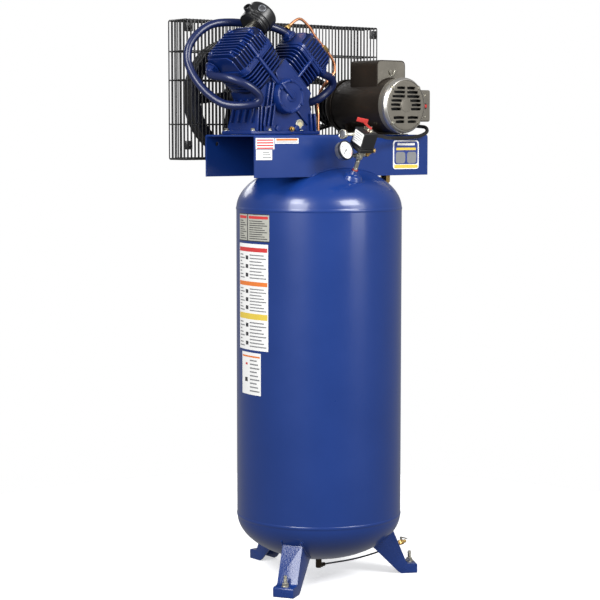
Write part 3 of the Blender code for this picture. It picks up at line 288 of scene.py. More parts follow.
def evaluated(holder, *others):
    """The holder's mesh with its modifiers applied. The holder and the others are removed."""
    graph = bpy.context.evaluated_depsgraph_get()
    mesh = bpy.data.meshes.new_from_object(holder.evaluated_get(graph))
    for used in (*others, holder):
        bpy.data.objects.remove(used)
    return mesh


def soften(made, width, segments, angle):
    """Rounds an object's edges that are sharper than angle, in degrees."""
    step = made.modifiers.new("soft_edges", "BEVEL")
    step.width = width
    step.segments = segments
    step.limit_method = "ANGLE"
    step.angle_limit = math.radians(angle)


def piece(name, mesh, look, place=None, body=ROOT, replaces=(), bevel=0.0, segments=2, angle=32):
    """One visible piece on a body. A bevel softens the edges sharper than angle, in degrees."""
    made = linked(name, mesh)
    made.matrix_world = BASE @ (place or HERE)
    mesh.materials.clear()
    mesh.materials.append(FINISHES[look])
    if bevel:
        soften(made, bevel, segments, angle)
    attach(made, body)
    if replaces:
        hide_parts(*replaces)
    return made


# ---- shapes ----
def finished(bm, angle=35):
    mesh = bpy.data.meshes.new("shape")
    bm.to_mesh(mesh)
    bm.free()
    mesh.shade_smooth()
    mesh.set_sharp_from_angle(angle=math.radians(angle))
    return mesh


def block(size, centre=(0, 0, 0), bevel=0.0, segments=2):
    bm = bmesh.new()
    bmesh.ops.create_cube(bm, size=1)
    bmesh.ops.scale(bm, vec=size, verts=bm.verts)
    bmesh.ops.translate(bm, vec=centre, verts=bm.verts)
    if bevel:
        bmesh.ops.bevel(
            bm, geom=bm.edges[:], offset=bevel, segments=segments, affect="EDGES", profile=0.5,
        )
    return finished(bm)


def rod(radius, low, high, sides=32, tip=None, bevel=0.0):
    tip = radius if tip is None else tip
    profile = [(0, high, 0), (tip, high, bevel), (radius, low, bevel), (0, low, 0)]
    return lathe(profile, sides)


def filleted(points, steps=3, closed=False):
    """Rounds each (x, y, radius) corner of a path. A corner with radius 0 stays as it is."""
    out = []
    count = len(points)
    for i, (x, y, radius) in enumerate(points):
        here = Vector((x, y))
        if not radius or (not closed and i in (0, count - 1)):
            out.append((x, y))
            continue
        before = Vector(points[i - 1][:2]) - here
        after = Vector(points[(i + 1) % count][:2]) - here
        if before.length < 1e-7 or after.length < 1e-7:
            out.append((x, y))
            continue
        turn = before.angle(after)
        if turn > math.radians(176):
            out.append((x, y))
            continue
        reach = radius / math.tan(turn / 2)
        reach = min(reach, before.length * 0.49, after.length * 0.49)
        start = here + before.normalized() * reach
        end = here + after.normalized() * reach
        for k in range(steps + 1):
            t = k / steps
            spot = start * (1 - t) ** 2 + here * 2 * t * (1 - t) + end * t * t
            out.append((spot.x, spot.y))
    return out


def lathe(profile, steps=64, closed=False, angle=30, fillets=3):
    """Turns (radius, height, fillet) points about Z, from the top down the outer side."""
    points = filleted([(p[0], p[1], p[2] if len(p) > 2 else 0) for p in profile], fillets, closed)
    bm = bmesh.new()
    rings = []
    for radius, height in points:
        if radius < 1e-6:
            rings.append([bm.verts.new((0, 0, height))])
            continue
        ring = []
        for j in range(steps):
            turn = 2 * math.pi * j / steps
            ring.append(bm.verts.new((radius * math.cos(turn), radius * math.sin(turn), height)))
        rings.append(ring)
    pairs = list(zip(rings, rings[1:]))
    if closed:
        pairs.append((rings[-1], rings[0]))
    for upper, lower in pairs:
        for j in range(steps):
            k = (j + 1) % steps
            if len(upper) == 1 and len(lower) == 1:
                continue
            if len(upper) == 1:
                bm.faces.new((upper[0], lower[j], lower[k]))
            elif len(lower) == 1:
                bm.faces.new((upper[j], lower[0], upper[k]))
            else:
                bm.faces.new((upper[j], lower[j], lower[k], upper[k]))
    return finished(bm, angle)


def slab(loops, thickness, angle=35):
    """A flat plate in XY, centred on Z = 0: the first loop is its edge and the others are holes."""
    curve = bpy.data.curves.new("outline", "CURVE")
    curve.dimensions = "2D"
    curve.fill_mode = "BOTH"
    curve.extrude = thickness / 2
    for loop in loops:
        spline = curve.splines.new("POLY")
        spline.points.add(len(loop) - 1)
        for point, (x, y) in zip(spline.points, loop):
            point.co = (x, y, 0, 1)
        spline.use_cyclic_u = True
    raw = evaluated(linked("holder", curve))
    bm = bmesh.new()
    bm.from_mesh(raw)
    bmesh.ops.remove_doubles(bm, verts=bm.verts, dist=0.00001)
    bmesh.ops.recalc_face_normals(bm, faces=bm.faces)
    bpy.data.meshes.remove(raw)
    return finished(bm, angle)


def circle(centre, radius, count=32, start=0.0, end=360.0):
    whole = abs(end - start) >= 360
    steps = count if whole else count - 1
    angles = [math.radians(start + (end - start) * i / steps) for i in range(count)]
    return [(centre[0] + radius * math.cos(a), centre[1] + radius * math.sin(a)) for a in angles]


def rounded_box(left, right, low, high, radius, steps=5):
    corners = [
        (left, low, radius), (right, low, radius), (right, high, radius), (left, high, radius),
    ]
    return filleted(corners, steps, closed=True)


def smooth_route(points, spacing):
    """Straight at both ends, and evenly spaced points on a smooth curve through the others."""
    knots = [Vector(p) for p in points]
    dense = []
    for before, start, end, after in zip(knots, knots[1:], knots[2:], knots[3:]):
        for i in range(24):
            t = i / 24
            a = 2 * start
            b = (end - before) * t
            c = (2 * before - 5 * start + 4 * end - after) * t * t
            d = (3 * start - before - 3 * end + after) * t * t * t
            dense.append((a + b + c + d) / 2)
    dense.append(knots[-2])
    length = sum((q - p).length for p, q in zip(dense, dense[1:]))
    count = max(2, round(length / spacing))
    route = [dense[0]]
    travelled = 0.0
    for p, q in zip(dense, dense[1:]):
        step = (q - p).length
        while len(route) < count and travelled + step >= length * len(route) / count:
            share = (length * len(route) / count - travelled) / step
            route.append(p.lerp(q, share))
        travelled += step
    route.append(dense[-1])
    return [knots[0]] + route + [knots[-1]]


def pipe(route, radius, sides=16, ribs=None):
    """A round pipe along a list of points. ribs makes it a corrugated one: (pitch, depth)."""
    points = [Vector(p) for p in route]
    if ribs:
        pitch, depth = ribs
    bm = bmesh.new()
    normal = None
    rings = []
    travelled = 0.0
    for i, point in enumerate(points):
        ahead = points[min(i + 1, len(points) - 1)] - points[max(i - 1, 0)]
        along = ahead.normalized()
        if normal is None:
            normal = along.orthogonal().normalized()
        else:
            normal = (normal - along * normal.dot(along)).normalized()
            travelled += (point - points[i - 1]).length
        side = along.cross(normal)
        size = radius
        if ribs:
            size = radius + depth * 0.5 * math.sin(2 * math.pi * travelled / pitch)
        ring = []
        for j in range(sides):
            turn = 2 * math.pi * j / sides
            ring.append(
                bm.verts.new(point + (normal * math.cos(turn) + side * math.sin(turn)) * size)
            )
        rings.append(ring)
    for first, second in zip(rings, rings[1:]):
        for j in range(sides):
            k = (j + 1) % sides
            bm.faces.new((first[j], first[k], second[k], second[j]))
    bm.faces.new(rings[0][::-1])
    bm.faces.new(rings[-1])
    return finished(bm, 50)


def merged(parts, angle=35):
    """One mesh from (mesh, place) pairs."""
    bm = bmesh.new()
    for mesh, place in parts:
        start = len(bm.verts)
        bm.from_mesh(mesh)
        bm.verts.ensure_lookup_table()
        bmesh.ops.transform(bm, matrix=place, verts=bm.verts[start:])
    for mesh in {mesh for mesh, _ in parts}:
        bpy.data.meshes.remove(mesh)
    return finished(bm, angle)


def carved(mesh, cutters, place=HERE):
    """The mesh after each (mesh, place) cutter is taken from it."""
    target = linked("carving", mesh)
    target.matrix_world = place
    tools = []
    for cutter, cutter_place in cutters:
        tool = linked("tool", cutter)
        tool.matrix_world = cutter_place
        step = target.modifiers.new("carve", "BOOLEAN")
        step.object = tool
        step.operation = "DIFFERENCE"
        step.solver = "EXACT"
        tools.append(tool)
    made = evaluated(target, *tools)
    made.shade_smooth()
    made.set_sharp_from_angle(angle=math.radians(35))
    return made


def hex_head(across, height):
    bm = bmesh.new()
    corner = across / math.sqrt(3)
    bmesh.ops.create_cone(
        bm, cap_ends=True, segments=6, radius1=corner, radius2=corner, depth=height
    )
    bmesh.ops.translate(bm, vec=(0, 0, height / 2), verts=bm.verts)
    top = [e for e in bm.edges if all(v.co.z > height * 0.9 for v in e.verts)]
    bmesh.ops.bevel(bm, geom=top, offset=height * 0.18, segments=1, affect="EDGES")
    return finished(bm, 20)


def bolt(across=0.01, height=0.006, washer=0.0):
    """A hex head on a round washer, which washer makes wider."""
    ring = rod(across * 0.72 + washer, 0, 0.0016, 20)
    return merged([(hex_head(across, height), at(0, 0, 0.0015)), (ring, HERE)], 20)


def bolts(name, places, look="zinc", across=0.01, height=0.006, body=ROOT, washer=0.0):
    parts = [(bolt(across, height, washer), place) for place in places]
    return piece(name, merged(parts, 20), look, body=body)


def screw_head(radius):
    """A round head with a cross slot."""
    head = lathe(
        [
            (0, radius * 0.6, 0), (radius * 0.6, radius * 0.55, radius * 0.3), (radius, 0, 0),
            (0, 0, 0),
        ],
        20,
    )
    slot_size = (radius * 1.4, radius * 0.22, radius * 0.5)
    slots = [(block(slot_size, (0, 0, radius * 0.6)), spun(45 + 90 * i)) for i in range(2)]
    return carved(head, slots)


# ---- tank ----
def dome_height(distance):
    share = min(1, distance / TANK_RADIUS)
    return UPPER_SEAM + HEAD_DEPTH * math.sqrt(1 - share * share)


def tank_profile(grow=0.0, steps=28):
    radius = TANK_RADIUS + grow
    depth = HEAD_DEPTH + grow
    upper = []
    lower = []
    for i in range(steps + 1):
        turn = math.pi / 2 * i / steps
        upper.append((radius * math.sin(turn), UPPER_SEAM + depth * math.cos(turn)))
        lower.append((radius * math.cos(turn), LOWER_SEAM - depth * math.sin(turn)))
    upper[0] = (0, upper[0][1])
    lower[-1] = (0, lower[-1][1])
    return upper, lower


def tank_solid(grow=0.0, sides=96):
    upper, lower = tank_profile(grow)
    return lathe(upper + lower, sides)


def make_tank():
    upper, lower = tank_profile()
    bead = 0.0011
    seams = []
    for seam in (UPPER_SEAM, LOWER_SEAM):
        rows = []
        for i in range(7):
            turn = math.pi * i / 6
            rows.append((TANK_RADIUS + bead * math.sin(turn), seam + 0.0045 * math.cos(turn)))
        seams.append(rows)
    bung_low = LOWER_SEAM - HEAD_DEPTH - 0.006
    bottom = [
        (0.024, lower[-1][1] + 0.0006), (0.024, bung_low, 0.002), (0.011, bung_low),
        (0.011, 0.075), (0, 0.075),
    ]
    wall = [p for p in lower if p[0] > 0.026]
    profile = upper[:-1] + seams[0] + seams[1] + wall[1:] + bottom
    piece("tank_body", lathe(profile, 160, angle=40), "blue_paint", replaces=["tank_shell"])
    collar = [
        (0, 0.017, 0), (0.0125, 0.017, 0.001), (0.015, 0.008, 0.003), (0.024, 0.004, 0.004),
        (0.03, -0.008, 0.002), (0.03, -0.03, 0), (0, -0.03, 0),
    ]
    piece("tank_top_coupling", lathe(collar, 48), "blue_paint", switch_frame(0))


def weld(route, radius=0.0028):
    """A ripple of weld metal along a route."""
    return pipe(route, radius, 10, ribs=(0.0042, 0.0012))


# ---- legs ----
LEG_ANGLES = {"leg_front_left": 210, "leg_front_right": 330, "leg_rear": 90}
LEG_WIDTH = 0.064
LEG_SHEET = 0.0045
ANCHOR_REACH = 0.29


def make_leg(name, angle):
    """A pressed channel with rounded folds, trimmed to the tank and welded along its edge."""
    turn = spun(angle) @ spun(90, "X")
    side = [
        (0.258, 0.0, 0.002), (0.309, 0.0, 0.003), (0.309, 0.03, 0.006), (0.276, 0.03, 0.012),
        (0.226, 0.15, 0), (0.15, 0.15, 0), (0.15, 0.092, 0), (0.168, 0.086, 0.008),
        (0.248, 0.006, 0.01),
    ]
    inside = [
        (0.1, -0.02, 0), (0.3045, -0.02, 0), (0.3045, 0.0255, 0.004), (0.273, 0.0255, 0.01),
        (0.217, 0.16, 0), (0.1, 0.16, 0),
    ]
    body = slab([filleted(side, 4, closed=True)], LEG_WIDTH)
    folded = linked("folding", body)
    soften(folded, 0.0035, 3, 50)
    body = evaluated(folded)
    cutters = [
        (slab([filleted(inside, 4, closed=True)], LEG_WIDTH - 2 * LEG_SHEET), turn),
        (rod(0.0065, 0.01, 0.05, 20), spun(angle) @ at(ANCHOR_REACH, 0, 0)),
        (tank_solid(0.0002), HERE),
    ]
    mesh = carved(body, cutters, turn)
    piece(name + "_channel", mesh, "blue_hammer", turn, replaces=[name])
    weld_start, weld_end = 0.168, 0.2385
    half_share = LEG_WIDTH / 2 / TANK_RADIUS
    for sign in (-1, 1):
        route = []
        for i in range(30):
            radius = weld_start + (weld_end - weld_start) * i / 29
            share = radius / TANK_RADIUS
            drop = HEAD_DEPTH * math.sqrt(1 - share * share - half_share * half_share)
            height = LOWER_SEAM - drop
            route.append(
                spun(angle) @ Vector((radius, sign * (LEG_WIDTH / 2 + 0.0005), height - 0.0005))
            )
        piece(f"{name}_weld_{'left' if sign < 0 else 'right'}", weld(route), "blue_hammer")


def make_anchor(name, angle, cad):
    place = spun(angle) @ at(ANCHOR_REACH, 0, 0.0303)
    stud = [(0, 0.0335, 0), (0.005, 0.0335, 0.0008), (0.0053, 0.03, 0)]
    for i in range(9):
        z = 0.029 - i * 0.0017
        stud += [(0.0055, z, 0), (0.0047, z - 0.00085, 0)]
    stud += [(0.0055, -0.026, 0.0008), (0, -0.026, 0)]
    parts = [
        (lathe(stud, 20), HERE),
        (rod(0.0128, 0, 0.0022, 32, bevel=0.0006), HERE),
        (hex_head(0.0175, 0.0095), at(0, 0, 0.0024)),
    ]
    piece(name, merged(parts), "zinc", place, replaces=[cad])


# ---- platform ----
DROP_POINT = (-0.045, 0.095)
COPPER_DROP = (0.023, 0.032)


def make_platform():
    half = PLATFORM_WIDTH / 2
    low = PLATFORM_TOP - PLATFORM_DEPTH
    t = PLATFORM_SHEET
    section = [
        (-half, low, 0.001), (-half, PLATFORM_TOP, 0.009), (half, PLATFORM_TOP, 0.009),
        (half, low, 0.001), (half - t, low, 0.001), (half - t, PLATFORM_TOP - t, 0.004),
        (-half + t, PLATFORM_TOP - t, 0.004), (-half + t, low, 0.001),
    ]
    along = spun(90) @ spun(90, "X")
    body = slab([filleted(section, 4, closed=True)[::-1]], PLATFORM_LENGTH)
    holes = [
        (tank_solid(0.0004), HERE),
        (rod(0.015, 1.35, 1.39), at(*DROP_POINT, 0)),
        (rod(0.006, 1.35, 1.39), at(*COPPER_DROP, 0)),
        (rod(0.0065, 0.1, 0.14), facing((-0.303, 0, 1.342), Y_AXIS)),
    ]
    mesh = carved(body, holes, along)
    piece(
        "platform_channel", mesh, "blue_sheet", along, replaces=["platform"], bevel=0.0006,
        segments=1,
    )
    for sign in (-1, 1):
        route = []
        y = sign * (half - 0.001)
        for i in range(60):
            x = -0.128 + 0.256 * i / 59
            distance = math.hypot(x, y)
            route.append(Vector((x, y + sign * 0.0015, dome_height(distance) + 0.0008)))
        piece(f"platform_weld_{'front' if sign < 0 else 'rear'}", weld(route, 0.0026), "blue_sheet")


# ---- drain ----
DRAIN_ELBOW_Z = 0.029
DRAIN_VALVE = Vector((0.292, -0.062, 0.07))
DRAIN_VALVE_AXIS = Vector((0.9, -0.1, 0.12)).normalized()


def make_drain():
    top = LOWER_SEAM - HEAD_DEPTH + 0.004
    body = lathe(
        [
            (0, top, 0), (0.0075, top, 0), (0.0095, 0.052, 0.001),
            (0.0095, DRAIN_ELBOW_Z - 0.008, 0.004), (0, DRAIN_ELBOW_Z - 0.008, 0),
        ],
        32,
    )
    arm = lathe(
        [
            (0, 0.024, 0), (0.0065, 0.024, 0.0006), (0.0065, 0.015, 0), (0.008, 0.0145, 0.001),
            (0.008, 0, 0), (0, 0, 0),
        ],
        6,
    )
    parts = [(body, HERE), (arm, facing((0, 0, DRAIN_ELBOW_Z), X_AXIS))]
    piece("drain_elbow_fitting", merged(parts), "old_brass", replaces=["drain_elbow"])
    route = [
        (0.0243, 0.0, DRAIN_ELBOW_Z), (0.06, -0.004, 0.029), (0.12, -0.018, 0.032),
        (0.175, -0.036, 0.041), (0.22, -0.05, 0.052),
        DRAIN_VALVE - DRAIN_VALVE_AXIS * 0.03,
        DRAIN_VALVE - DRAIN_VALVE_AXIS * 0.0203,
    ]
    piece(
        "drain_line", pipe(smooth_route(route, 0.006), 0.0026, 14), "dark_paint",
        replaces=["drain_tube"],
    )
    profile = [
        (0, 0.018, 0), (0.0055, 0.018, 0.0006), (0.0055, 0.008, 0), (0.0085, 0.008, 0.001),
        (0.0085, -0.008, 0.001), (0.006, -0.008, 0), (0.006, -0.013, 0.0005),
        (0.0075, -0.0135, 0.0005), (0.0075, -0.02, 0.0005), (0, -0.02, 0),
    ]
    place = facing(DRAIN_VALVE, DRAIN_VALVE_AXIS)
    piece("drain_valve", lathe(profile, 6, angle=20), "brass", place, replaces=["drain_valve_body"])


# ---- pump ----
def bank_frame(key):
    """Z out along the cylinder from the crank's axis, and Y to the back."""
    bank = BANKS[key]
    return at(CRANK_X, bank["y"], CRANK_Z) @ spun(45 * bank["side"], "Y")


def bank_point(key, along, outward, y):
    bank = BANKS[key]
    return bank_frame(key) @ Vector((bank["side"] * outward, y - bank["y"], along))


def bank_direction(key, outward):
    return (bank_point(key, 0, outward, 0) - bank_point(key, 0, 0, 0)).normalized()


def crank_frame(y=0.0):
    return facing((CRANK_X, y, CRANK_Z), Y_AXIS)


GLASS_POINT = (CRANK_X + 0.052, 0.0, CRANK_Z - 0.082)


def make_crankcase():
    """A cast case: two decks, a waist, ribs down its front and sides, and a bolted base."""
    base = PLATFORM_TOP + 0.0003 - CRANK_Z
    deck = 0.078
    peak = deck * math.sqrt(2)
    half = [
        (0.0995, peak - 0.0995, 0.004), (0.088, -0.012, 0.014), (0.112, base + 0.02, 0.01),
        (0.116, base + 0.001, 0),
    ]
    outline = [(0, peak, 0.002)] + half + [(-x, z, r) for x, z, r in reversed(half)]
    across = at(CRANK_X, 0, CRANK_Z) @ spun(90, "X")
    parts = []
    body = slab([filleted(outline, 5, closed=True)], 2 * CASE_HALF_DEPTH)
    parts.append((body, across))
    flange = block((0.262, 0.146, 0.012), (CRANK_X, 0, PLATFORM_TOP + 0.0063), 0.0035, 3)
    parts.append((flange, HERE))
    for x in (-0.106, -0.094, -0.079, 0.09, 0.106):
        top = -0.03 if x < 0 else -0.05
        foot = base + 0.01
        lean = 0.2 if x < 0 else -0.2
        height = top - foot
        rib = block((0.0055, 0.014, height), (0, 0, foot + height / 2), 0.0015)
        place = at(
            CRANK_X + x * 0.98, -CASE_HALF_DEPTH - 0.002, CRANK_Z,
        ) @ spun(math.degrees(lean * 0.35), "Y")
        parts.append((rib, place))
    for angle, start, end in ((-45, 0.05, 0.118), (180 + 25, 0.05, 0.088), (120, 0.052, 0.08)):
        direction = spun(-angle, "Y")
        rib = block((end - start, 0.012, 0.006), ((start + end) / 2, 0, 0), 0.0015)
        parts.append((rib, at(CRANK_X, -CASE_HALF_DEPTH - 0.001, CRANK_Z) @ direction))
    for y in (-0.048, -0.016, 0.016, 0.048):
        for sign in (-1, 1):
            rib = block((0.012, 0.005, 0.07), (0, 0, -0.036), 0.0014)
            place = at(CRANK_X + sign * 0.095, y, CRANK_Z - 0.008) @ spun(-sign * 13, "Y")
            parts.append((rib, place))
    for x_top, x_foot in ((-0.036, -0.056), (-0.05, -0.072), (-0.064, -0.088)):
        top = Vector((CRANK_X + x_top, -CASE_HALF_DEPTH - 0.003, CRANK_Z + 0.04))
        foot = Vector((CRANK_X + x_foot, -CASE_HALF_DEPTH - 0.003, CRANK_Z - 0.088))
        middle = (top + foot) / 2
        length = (top - foot).length
        lean = math.degrees(math.atan2(x_top - x_foot, 0.128))
        parts.append(
            (
                block((0.0048, 0.015, length), (0, 0, 0), 0.0018, 3),
                Matrix.Translation(middle) @ spun(lean, "Y"),
            )
        )
    for x, z in ((0.04, -0.094), (0.064, -0.096), (-0.03, -0.094)):
        boss = lathe([(0, 0.007, 0), (0.009, 0.007, 0.001), (0.011, 0, 0), (0, 0, 0)], 24)
        parts.append((boss, facing((CRANK_X + x, -CASE_HALF_DEPTH, CRANK_Z + z), -Y_AXIS)))
    piece("crankcase_casting", merged(parts), "blue_cast", replaces=["crankcase"], bevel=0.001)
    feet = []
    for x in (-0.119, -0.06, 0.06, 0.119):
        for y in (-0.064, 0.064):
            if abs(x) > 0.1 or y < 0:
                feet.append(
                    at(CRANK_X + x, y * (1.0 if abs(x) > 0.1 else 1.07), PLATFORM_TOP + 0.0123)
                )
    bolts("crankcase_foot_bolts", feet, "zinc", 0.0105, 0.006)


def make_crank_cover():
    profile = [
        (0, 0.03, 0), (0.015, 0.03, 0.002), (0.0165, 0.0275, 0.002), (0.04, 0.027, 0.002),
        (0.043, 0.0295, 0.002), (0.049, 0.029, 0.004), (0.052, 0.018, 0.004), (0.054, 0.0003, 0),
        (0, 0.0003, 0),
    ]
    place = facing((CRANK_X, -CASE_HALF_DEPTH, CRANK_Z), -Y_AXIS)
    piece(
        "crank_end_cover", lathe(profile, 72), "blue_cast", place,
        replaces=["crankcase_front_cover"],
    )
    bar = block((0.011, 0.008, 0.064), (0, 0.007 - CASE_HALF_DEPTH - 0.031, 0.024), 0.0026, 3)
    piece("crank_cover_bar", bar, "blue_cast", bank_frame("low_stage"))
    heads = []
    for i in range(6):
        angle = math.radians(30 + 60 * i)
        heads.append(place @ at(0.0455 * math.cos(angle), 0.0455 * math.sin(angle), 0.029))
    bolts("crank_cover_bolts", heads, "blue_cast", 0.008, 0.004)


def make_long_rib():
    """The raised passages down the front of both banks."""
    place = bank_frame("low_stage")
    front = -0.083 - BANKS["low_stage"]["y"]
    parts = [
        (block((0.01, 0.009, 0.205), (0.0, front, 0.1075), 0.003, 3), HERE),
        (block((0.015, 0.018, 0.011), (0.0, front + 0.004, 0.162), 0.003, 3), HERE),
    ]
    piece("low_stage_long_rib", merged(parts), "blue_cast", place)
    place = bank_frame("high_stage")
    front = -0.058
    rib = block((0.0085, 0.012, 0.1), (0.0, front - 0.004, 0.115), 0.0025, 3)
    piece("high_stage_long_rib", merged([(rib, HERE)]), "blue_cast", place)


def fin_loop(half, corner):
    return rounded_box(-half, half, -half, half, corner, 6)


FIN_COUNT = 6
FIN_START = 0.0905
FIN_PITCH = 0.0118
FIN_THICKNESS = 0.0034


def make_cylinder(key):
    bank = BANKS[key]
    bore = bank["bore"]
    reach = bank["fin"]
    parts = []
    barrel = [
        (bore, 0.158, 0), (bore + 0.0085, 0.158, 0), (bore + 0.0065, 0.088, 0.004),
        (bore + 0.02, 0.086, 0.002), (bore + 0.02, 0.0783, 0.001), (bore, 0.0783, 0),
    ]
    # The barrel between the fins is coloured darker than the fins: painted shade in the gaps.
    piece(f"{key}_barrel_wall", lathe(barrel, 56, closed=True), "blue_painted_shade", bank_frame(key))
    hole = circle((0, 0), bore + 0.002, 40)
    for i in range(FIN_COUNT):
        z = FIN_START + FIN_PITCH * i
        size = reach * (0.93 + 0.07 * (i / (FIN_COUNT - 1)))
        fin = slab([fin_loop(size, reach * 0.42), hole], FIN_THICKNESS)
        parts.append((fin, at(0, 0, z)))
    top = slab([fin_loop(reach * 0.98, reach * 0.4), hole], 0.006)
    parts.append((top, at(0, 0, 0.155)))
    mesh = merged(parts)
    piece(
        f"{key}_finned_barrel", mesh, "blue_cast", bank_frame(key), replaces=[f"{key}_cylinder"],
        bevel=0.0007,
    )
    places = []
    for i in range(4):
        angle = math.radians(45 + 90 * i)
        radius = bore + 0.0165
        places.append(
            bank_frame(key) @ at(radius * math.cos(angle), radius * math.sin(angle), 0.086)
        )
    bolts(f"{key}_deck_nuts", places, "blue_cast", 0.011, 0.007)


HEAD_LOW = 0.1583
HEAD_TOP = 0.226
HEAD_RIBS = {"low_stage": 13, "high_stage": 11}
HEAD_RIB_THICKNESS = 0.0032


def make_head(key):
    """A cast head: a core, and ribs that run over its outer face and down its front and back."""
    bank = BANKS[key]
    half = bank["head"]
    low = HEAD_LOW
    top = HEAD_TOP
    core_top = top - 0.013
    core_half = half - 0.006
    corner = half * 0.36
    parts = []
    # The core between the ribs is coloured darker than the ribs: painted shade in the gaps.
    core = slab([fin_loop(core_half, corner)], core_top - low)
    core_place = bank_frame(key) @ at(0, 0, (core_top + low) / 2)
    piece(f"{key}_head_core", core, "blue_painted_shade", core_place, bevel=0.0015)
    flange = slab([fin_loop(half, corner)], 0.009)
    parts.append((flange, at(0, 0, low + 0.0045)))
    count = HEAD_RIBS[key]
    pitch = 2 * (half - 0.006) / (count - 1)
    for i in range(count):
        x = -half + 0.006 + pitch * i
        inset = max(0.0, abs(x) - (half - corner)) * 0.75
        reach = half - inset
        rib_top = top if i not in (0, count - 1) else top - 0.006
        if x * bank["side"] < -half + 0.03:
            rib_top = top - 0.0125
        section = [
            (-reach, low + 0.004, 0.001), (reach, low + 0.004, 0.001),
            (reach, rib_top - 0.014, 0.008), (reach - 0.016, rib_top, 0.008),
            (-reach + 0.016, rib_top, 0.008), (-reach, rib_top - 0.014, 0.008),
        ]
        rib = slab([filleted(section, 4, closed=True)], HEAD_RIB_THICKNESS)
        upright = at(x, 0, 0) @ spun(90, "Z") @ spun(90, "X")
        parts.append((rib, upright))
    bosses = []
    spots = [(-0.62, -0.62), (0.62, -0.62), (-0.62, 0.62), (0.62, 0.62), (0.0, -0.7), (0.0, 0.7)]
    for bx, by in spots:
        boss = lathe([(0, 0, 0), (0.0095, 0, 0.001), (0.0105, -0.05, 0), (0, -0.05, 0)], 28)
        parts.append((boss, at(bx * half, by * half, core_top + 0.006)))
        bosses.append(bank_frame(key) @ at(bx * half, by * half, core_top + 0.0061))
    mesh = merged(parts)
    piece(
        f"{key}_ribbed_head", mesh, "blue_cast", bank_frame(key), replaces=[f"{key}_head"],
        bevel=0.0008,
    )
    bolts(f"{key}_head_bolts", bosses, "blue_cast", 0.0115, 0.0055)


def make_pump_details():
    glass = facing((GLASS_POINT[0], -CASE_HALF_DEPTH, GLASS_POINT[2]), -Y_AXIS)
    rim = [
        (0.0085, 0.0045, 0.0004), (0.0145, 0.0045, 0.001), (0.0145, 0.0003, 0),
        (0.0085, 0.0003, 0),
    ]
    piece("sight_glass_rim", lathe(rim, 32, closed=True), "zinc", glass)
    pane = [(0, 0.0038, 0), (0.0084, 0.0034, 0.0004), (0.0084, -0.006, 0), (0, -0.006, 0)]
    piece("sight_glass_pane", lathe(pane, 32), "glass", glass, replaces=["oil_sight_glass"])
    drain = [
        (0, 0.014, 0), (0.0055, 0.014, 0.001), (0.0055, 0.006, 0), (0.008, 0.006, 0),
        (0.008, 0, 0), (0, 0, 0),
    ]
    spot = facing((CRANK_X + 0.02, -CASE_HALF_DEPTH, CRANK_Z - 0.096), -Y_AXIS)
    piece("oil_drain_plug", lathe(drain, 6, angle=20), "brass", spot)


# ---- air filter ----
def filter_frame():
    start = bank_point("low_stage", 0.195, -BANKS["low_stage"]["head"] - 0.0003, 0)
    return facing(start, bank_direction("low_stage", -1), -Y_AXIS)


